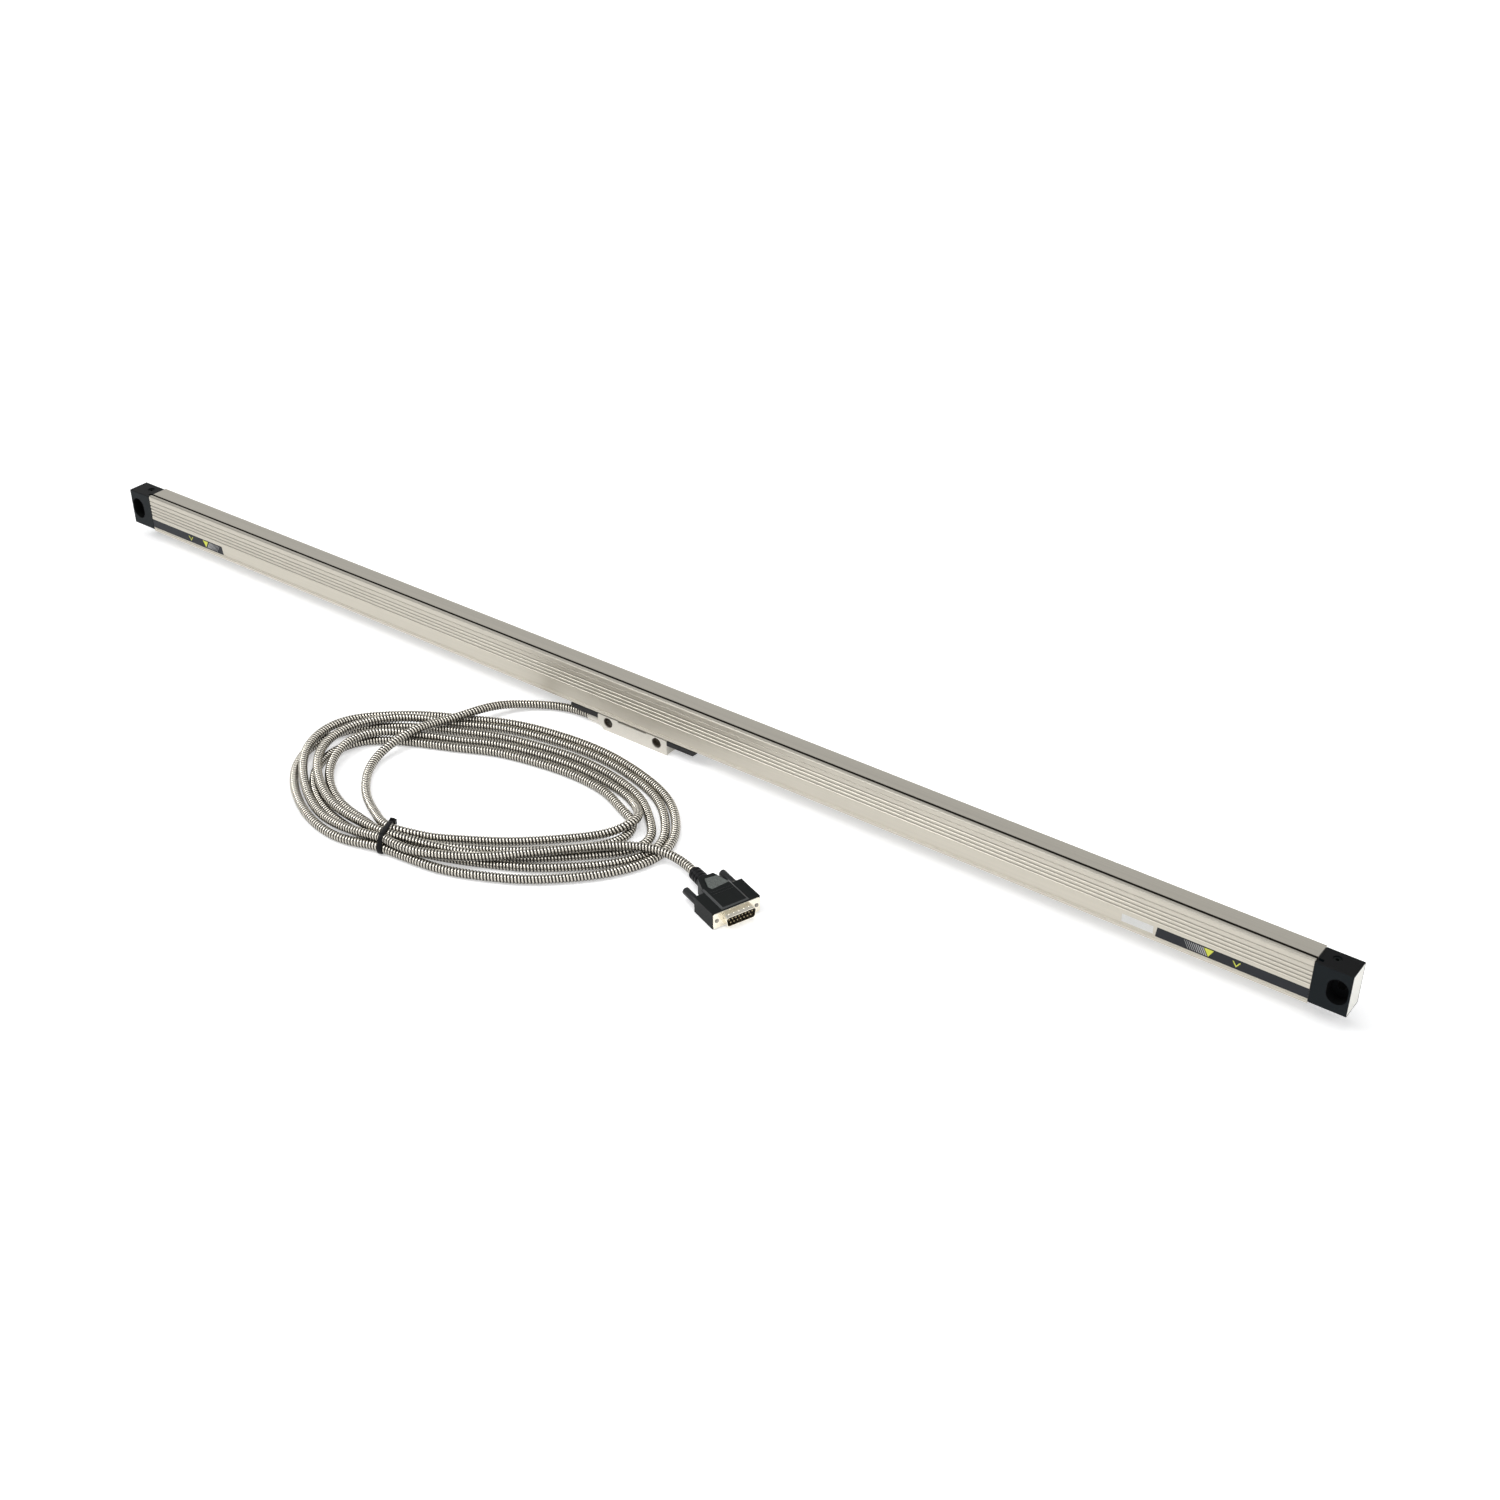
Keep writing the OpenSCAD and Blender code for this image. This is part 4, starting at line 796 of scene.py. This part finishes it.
class GLASSSCALE_OT_stage(bpy.types.Operator):
    """Camera, lamps, floor and background"""
    bl_idname = "glass_scale.stage"
    bl_label = "Stage and camera"

    def execute(self, context):
        scene = context.scene
        scene.view_settings.view_transform = "Standard"
        lens = bpy.data.cameras.new("camera")
        lens.lens = CAMERA_LENS
        lens.sensor_width = 36
        lens.clip_start, lens.clip_end = 0.05, 50
        camera = bpy.data.objects.new("camera", lens)
        camera.location = CAMERA_SPOT
        camera.rotation_euler = CAMERA_TURN
        scene.collection.objects.link(camera)
        scene.camera = camera

        scene.world = self.sky()
        for name, spot, aim, width, power in LAMPS:
            lamp = bpy.data.lights.new(name, "AREA")
            lamp.shape = "DISK"
            lamp.size = width
            lamp.energy = power
            placed = bpy.data.objects.new(name, lamp)
            placed.location = spot
            placed.rotation_mode = "QUATERNION"
            placed.rotation_quaternion = (Vector(aim) - Vector(spot)).to_track_quat("-Z", "Y")
            scene.collection.objects.link(placed)

        floor_mesh = mesh_of("floor", FLOOR_CORNERS, [(0, 1, 2, 3)], False)
        floor = bpy.data.objects.new("floor", floor_mesh)
        scene.collection.objects.link(floor)
        floor.data.materials.append(self.floor_finish())
        return {"FINISHED"}

    def sky(self):
        """White where it is looked at, greyer overhead where it is mirrored, even where it only lights."""
        world = bpy.data.worlds.new("studio")
        g = Graph(world)
        parts = g.node("SeparateXYZ", sockets={"Vector": g.node("TexCoord").outputs["Generated"]})
        height = g.value(parts.outputs["Z"])
        mirrored = g.blend(g.ramp(height, 0.12, 0.95), (1, 1, 1), (0.26, 0.27, 0.28))
        straight = g.value(g.node("LightPath").outputs["Is Camera Ray"])
        sky_colour = g.blend(straight, mirrored, (1, 1, 1))
        seen = g.node("Background", sockets={"Color": sky_colour, "Strength": 1})
        lit = g.node("Background", sockets={"Color": (0.96, 0.975, 1), "Strength": 0.26})
        end = g.node("OutputWorld")
        g.feed(end.inputs["Surface"], g.mix_shaders(g.shown(), lit, seen).outputs[0])
        return world

    def floor_finish(self):
        """White paper: the lamps' light with shadows, lifted to white where it is seen."""
        f = Finish("paper_floor")
        paper = f.noise(60, (1, 1, 1), 3)
        f.set(Base_Color=f.blend(paper, (0.88, 0.88, 0.88), (0.90, 0.90, 0.90)), Roughness=0.9)
        away = f.node("VectorMath", {"operation": "LENGTH"}, {0: f.where}).outputs["Value"]
        lift = f.blend(f.ramp(f.value(away), 0.9, 3.2), (0.40, 0.40, 0.40), (0.85, 0.85, 0.85))
        glow = f.node("Emission", sockets={"Color": lift, "Strength": 1})
        both = f.node("AddShader")
        f.feed(both.inputs[0], f.shader.outputs[0])
        f.feed(both.inputs[1], glow.outputs[0])
        f.feed(f.output.inputs["Surface"], f.mix_shaders(f.shown(), f.shader, both).outputs[0])
        return f.material


class GLASSSCALE_OT_lead(bpy.types.Operator):
    """The armoured lead, wound of stainless strip, from the head through the coil to the plug"""
    bl_idname = "glass_scale.lead"
    bl_label = "Armoured lead"

    def execute(self, context):
        size = sizes()
        line = lead_line(LEAD_STEP) * MM
        skin = ribbed_tube("armoured_lead", line, size.lead_d / 2, size.rib_pitch, size.rib_depth)
        lead = link("armoured_lead", skin, hose_finish(), HEAD_BODY)
        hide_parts("lead_head_end", "lead_coil", "lead_plug_end")
        return {"FINISHED"}


# The strap's bends: inward, height, and the two directions in degrees between which it turns
STRAP_BENDS = [(8.9, 10.96, -8, 80), (-5.4, 10.96, 80, 148), (-8.9, 4.9, 148, 262), (7.4, 4.9, 262, 352)]
BEND_POINTS = 8
# The strap's section, as shares of its width and thickness: its outer edges are cut off
STRAP_SECTION = [(-0.5, -0.5), (0.5, -0.5), (0.5, 0.35), (0.38, 0.5), (-0.38, 0.5), (-0.5, 0.35)]


class GLASSSCALE_OT_tie(bpy.types.Operator):
    """The cable tie: a strap round the bundle, its lock head and its cut end"""
    bl_idname = "glass_scale.tie"
    bl_label = "Cable tie"

    def execute(self, context):
        strap = link("cable_tie_strap", self.strap(), tie_nylon(), HEAD_BODY)
        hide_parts("cable_tie")
        self.block("cable_tie_lock", [(-2.6, 13.0), (2.6, 13.0), (2.6, 16.2), (-2.6, 16.2)], 9.6, 14.4, 0.5)
        self.block("cable_tie_tail", [(-1.8, 14.0), (1.8, 14.0), (1.7, 15.2), (-1.7, 15.2)], 14.0, 15.6, 0.2)
        return {"FINISHED"}

    def strap(self):
        """A closed band whose middle line hugs the passes of the lead."""
        size = sizes()
        out = HOSE_RADIUS + size.tie_t / MM / 2 + 0.05
        path = []
        for inward, height, start, end in STRAP_BENDS:
            for step in range(BEND_POINTS):
                turn = math.radians(start + (end - start) * step / (BEND_POINTS - 1))
                spot = in_tie(inward + out * math.cos(turn), height + out * math.sin(turn))
                path.append(Vector(spot) * MM)
        along = Vector(in_tie(0, 0, 1)) - Vector(in_tie(0, 0, 0))
        points = []
        for before, spot, after in zip(path[-1:] + path, path, path[1:] + path[:1]):
            outward = (after - before).normalized().cross(along).normalized()
            for wide, thick in STRAP_SECTION:
                points.append(spot + along * (wide * size.tie_w) + outward * (thick * size.tie_t))
        n, m = len(STRAP_SECTION), len(path)
        faces = []
        for i in range(m):
            j = (i + 1) % m
            faces += [(i * n + k, i * n + (k + 1) % n, j * n + (k + 1) % n, j * n + k) for k in range(n)]
        return mesh_of("cable_tie_strap", points, faces)

    def block(self, name, outline, low, high, edge):
        """A block whose outline runs along the bundle and towards its inside, in millimetres."""
        points = [Vector(in_tie(inward, 0, run)) * MM for run, inward in outline]
        mesh = plate(name, [p[:2] for p in points], low * MM, high * MM, edge * MM)
        return link(name, mesh, tie_nylon(), HEAD_BODY)


class GLASSSCALE_OT_housing(bpy.types.Operator):
    """Finishes of the housing, its end blocks, gaskets, lips and plugs"""
    bl_idname = "glass_scale.housing"
    bl_label = "Housing and end blocks"

    def execute(self, context):
        dress("scale_housing", anodised_finish())
        dress(["end_block_left", "end_block_right"], end_block_finish())
        dress(["end_gasket_left", "end_gasket_right", "front_lip", "back_lip", "glass_wedge_strip"],
              black_rubber())
        dress("air_port_plugs", hood_plastic())
        dress("tongue_screws", screw_steel())
        return {"FINISHED"}


class GLASSSCALE_OT_inside(bpy.types.Operator):
    """Finishes of the glass, the scanning carriage and what it carries"""
    bl_idname = "glass_scale.inside"
    bl_label = "Glass and carriage"

    def execute(self, context):
        dress("glass_scale", glass_finish("ruled_glass", (0.88, 0.96, 0.93), True))
        dress("index_reticle", glass_finish("reticle_glass", (0.92, 0.95, 0.93), True))
        dress("lamp_lens", glass_finish("lens_glass", (0.95, 0.97, 1.0), False))
        dress(["lamp_board", "detector_board", "head_board"], board_finish())
        dress("carriage_frame", machined_alloy())
        dress(["roller_axles", "coupling_wire", "blade_pins"], bright_steel())
        dress(["face_roller_left", "face_roller_right", "face_roller_top", "edge_roller_left",
               "edge_roller_right"], bright_steel())
        return {"FINISHED"}


class GLASSSCALE_OT_head(bpy.types.Operator):
    """Finishes of the reading head, its cover, shoes, blade and screws"""
    bl_idname = "glass_scale.head"
    bl_label = "Reading head"

    def execute(self, context):
        dress(["head_block", "head_rear_cover"], cast_finish())
        dress(["head_cover_screws", "shoe_screws", "lead_clamp_screw"], screw_steel())
        dress(["wiper_shoe_left", "wiper_shoe_right"], black_rubber())
        dress("drive_blade", machined_alloy())
        return {"FINISHED"}


# Floor of the shallow recess that takes the strips, and the height of its upper edge
LABEL_FACE = HOUSING_LOW[1] + 0.2 * MM
LABEL_TOP = HOUSING_HIGH[2] - 23.6 * MM
LABEL_LOW = LABEL_TOP - 8.1 * MM
LABEL_MID = (LABEL_TOP + LABEL_LOW) / 2
FILM = 0.1 * MM
INK = 0.03 * MM


class GLASSSCALE_OT_marks(bpy.types.Operator):
    """The printed strips with their travel marks, and the small paper label"""
    bl_idname = "glass_scale.marks"
    bl_label = "Printed strips"

    def execute(self, context):
        size = sizes()
        black = print_ink("strip_black", (0.014, 0.016, 0.021))
        yellow = print_ink("mark_yellow", tuple(colours().marker))
        white = print_ink("label_white", (0.80, 0.80, 0.78))
        top, low, mid = LABEL_TOP, LABEL_LOW, LABEL_MID
        left, right = -HOUSING_HIGH[0], HOUSING_HIGH[0]
        self.film("strip_left", [(left, low), (left + size.left_strip, low),
                                 (left + size.left_strip - 1.5 * MM, top), (left, top)], black, 0, FILM)
        self.film("strip_right", [(right - size.right_strip, low), (right, low), (right, top),
                                  (right - size.right_strip + MM, top)], black, 0, FILM)
        label = right - size.right_strip - 1.9 * MM
        self.film("paper_label", [(label - 24 * MM, low + 1.2 * MM), (label, low + 1.2 * MM),
                                  (label, top - 0.6 * MM), (label - 24 * MM, top - 0.6 * MM)],
                  white, 0, 0.8 * FILM)
        tall = 2.6 * MM
        shoulder = mid + tall / 1.4
        for side, spot in (("left", left + 53 * MM), ("right", right - 51.2 * MM)):
            self.film("chevron_" + side, [
                (spot - 3 * MM, shoulder), (spot - 2 * MM, shoulder), (spot, mid - tall / 2),
                (spot + 2 * MM, shoulder), (spot + 3 * MM, shoulder), (spot, mid - tall)], yellow, FILM, INK)
        for side, spot, way in (("left", left + 73.3 * MM, 1), ("right", right - 71.5 * MM, -1)):
            self.film("triangle_" + side, [(spot - 3.6 * MM, mid + 3 * MM), (spot, mid - 3.2 * MM),
                                           (spot + 3.6 * MM, mid + 3 * MM)], yellow, FILM, INK)
            self.bars("speed_bars_" + side, spot, way)
        return {"FINISHED"}

    def film(self, name, outline, material, lift, thick):
        """A film whose outline is given in X and Z."""
        mesh = plate(name, outline, 0, thick)
        mesh.transform(Matrix(((1, 0, 0, 0), (0, 0, -1, LABEL_FACE - lift), (0, 1, 0, 0), (0, 0, 0, 1))))
        return link(name, mesh, material, SCALE_BODY)

    def bars(self, name, spot, way):
        """Nine bars that lean with the triangle and grow thinner away from it."""
        shape = bmesh.new()
        for i in range(9):
            thick = (1.0 - 0.085 * i) * MM
            foot = spot + way * (1.8 + 1.65 * i) * MM
            head = foot + way * 3.4 * MM
            corners = [(foot, LABEL_MID - 3.2 * MM), (foot + thick, LABEL_MID - 3.2 * MM),
                       (head + thick, LABEL_MID + 3 * MM), (head, LABEL_MID + 3 * MM)]
            ring = [shape.verts.new((x, LABEL_FACE - FILM - INK, z)) for x, z in corners]
            grown = bmesh.ops.extrude_face_region(shape, geom=[shape.faces.new(ring)])
            for part in grown["geom"]:
                if isinstance(part, bmesh.types.BMVert):
                    part.co.y += INK
        bmesh.ops.recalc_face_normals(shape, faces=shape.faces)
        mesh = bpy.data.meshes.new(name)
        shape.to_mesh(mesh)
        shape.free()
        return link(name, mesh, print_ink("mark_grey", (0.45, 0.45, 0.45)), SCALE_BODY)


class GLASSSCALE_OT_plug(bpy.types.Operator):
    """Finishes of the plug and the small forms on its hood and shell"""
    bl_idname = "glass_scale.plug"
    bl_label = "Plug"

    def execute(self, context):
        dress(["plug_hood_lower", "plug_hood_upper"], hood_plastic())
        soften(["plug_hood_lower", "plug_hood_upper"], 0.5 * MM)
        dress("plug_boot", rubber_finish("boot_rubber", (0.006, 0.006, 0.007), 900, 0.34, 0.03))
        soften(["plug_boot"], 0.4 * MM)
        dress("plug_hood_screws", screw_steel())
        dress("plug_shell", plug_nickel())
        soften(["plug_shell"], 0.2 * MM)
        dress("plug_insulator", rubber_finish("insulator_black", (0.006, 0.004, 0.004), 1500, 0.4, 0.02))
        dress("plug_pins", steel_finish("gold_pin", (0.46, 0.38, 0.24), 0.3))
        dress("jackscrew_left", jackscrew_finish("jackscrew_left", -25.8))
        dress("jackscrew_right", jackscrew_finish("jackscrew_right", -29.6))
        soften(["jackscrew_left", "jackscrew_right"], 0.5 * MM)
        self.on_hood("grip_inlay", [(-38, -3), (-36.7, 6.9), (-25.9, 10.0), (-24.5, -5.1), (-28.2, -6.3)],
                     13.9, 15.05, 0.25, inlay_plastic())
        for number, (back, front) in enumerate([(-21.6, -20.9), (-18.6, -18.1)]):
            self.on_hood(f"grip_ridge_{number}", [(back, -8.6), (front, -8.6), (front, 8.8), (back, 8.8)],
                         14.8, 15.1, 0.12, hood_plastic())
        for number, across in enumerate([-8.4, -4.2, 0, 4.2, 8.4]):
            self.dimple(f"shell_dimple_{number}", across)
        return {"FINISHED"}

    def on_hood(self, name, outline, low, high, edge, material):
        """A raised plate on the hood, in the plug's own directions and heights in millimetres."""
        points = [Vector(in_plug(x, y)) * MM for x, y in outline]
        mesh = plate(name, [p[:2] for p in points], low * MM, high * MM, edge * MM)
        return link(name, mesh, material, HEAD_BODY)

    def dimple(self, name, across):
        """A pressed contact dimple on the shell's upper side."""
        shape = bmesh.new()
        bmesh.ops.create_uvsphere(shape, u_segments=16, v_segments=8, radius=0.8 * MM)
        flat = Matrix.Diagonal((1, 1, 0.5, 1))
        bmesh.ops.transform(shape, verts=shape.verts,
                            matrix=Matrix.Translation(Vector(in_plug(2.6, across, 11.4)) * MM) @ flat)
        mesh = bpy.data.meshes.new(name)
        shape.to_mesh(mesh)
        shape.free()
        mesh.shade_smooth()
        return link(name, mesh, plug_nickel(), HEAD_BODY)


STEPS = ["stage", "lead", "tie", "housing", "inside", "head", "marks", "plug"]


class GLASSSCALE_PT_panel(bpy.types.Panel):
    """Lists every step in the order in which they run"""
    bl_idname = "GLASSSCALE_PT_panel"
    bl_label = "Glass scale"
    bl_space_type = "VIEW_3D"
    bl_region_type = "UI"
    bl_category = "Glass scale"

    def draw(self, context):
        for step in STEPS:
            self.layout.operator("glass_scale." + step)
        for group in (context.scene.glass_scale_sizes, context.scene.glass_scale_colours):
            box = self.layout.box()
            for name in group.bl_rna.properties.keys():
                if name not in ("rna_type", "name"):
                    box.prop(group, name)


CLASSES = (ScaleSizes, ScaleColours, GLASSSCALE_OT_stage, GLASSSCALE_OT_lead, GLASSSCALE_OT_tie,
           GLASSSCALE_OT_housing, GLASSSCALE_OT_inside, GLASSSCALE_OT_head, GLASSSCALE_OT_marks,
           GLASSSCALE_OT_plug, GLASSSCALE_PT_panel)


def register():
    for item in CLASSES:
        bpy.utils.register_class(item)
    bpy.types.Scene.glass_scale_sizes = bpy.props.PointerProperty(type=ScaleSizes)
    bpy.types.Scene.glass_scale_colours = bpy.props.PointerProperty(type=ScaleColours)


def unregister():
    del bpy.types.Scene.glass_scale_colours
    del bpy.types.Scene.glass_scale_sizes
    for item in reversed(CLASSES):
        bpy.utils.unregister_class(item)


def main():
    register()
    for step in STEPS:
        getattr(bpy.ops.glass_scale, step)()


if __name__ == "__main__":
    main()
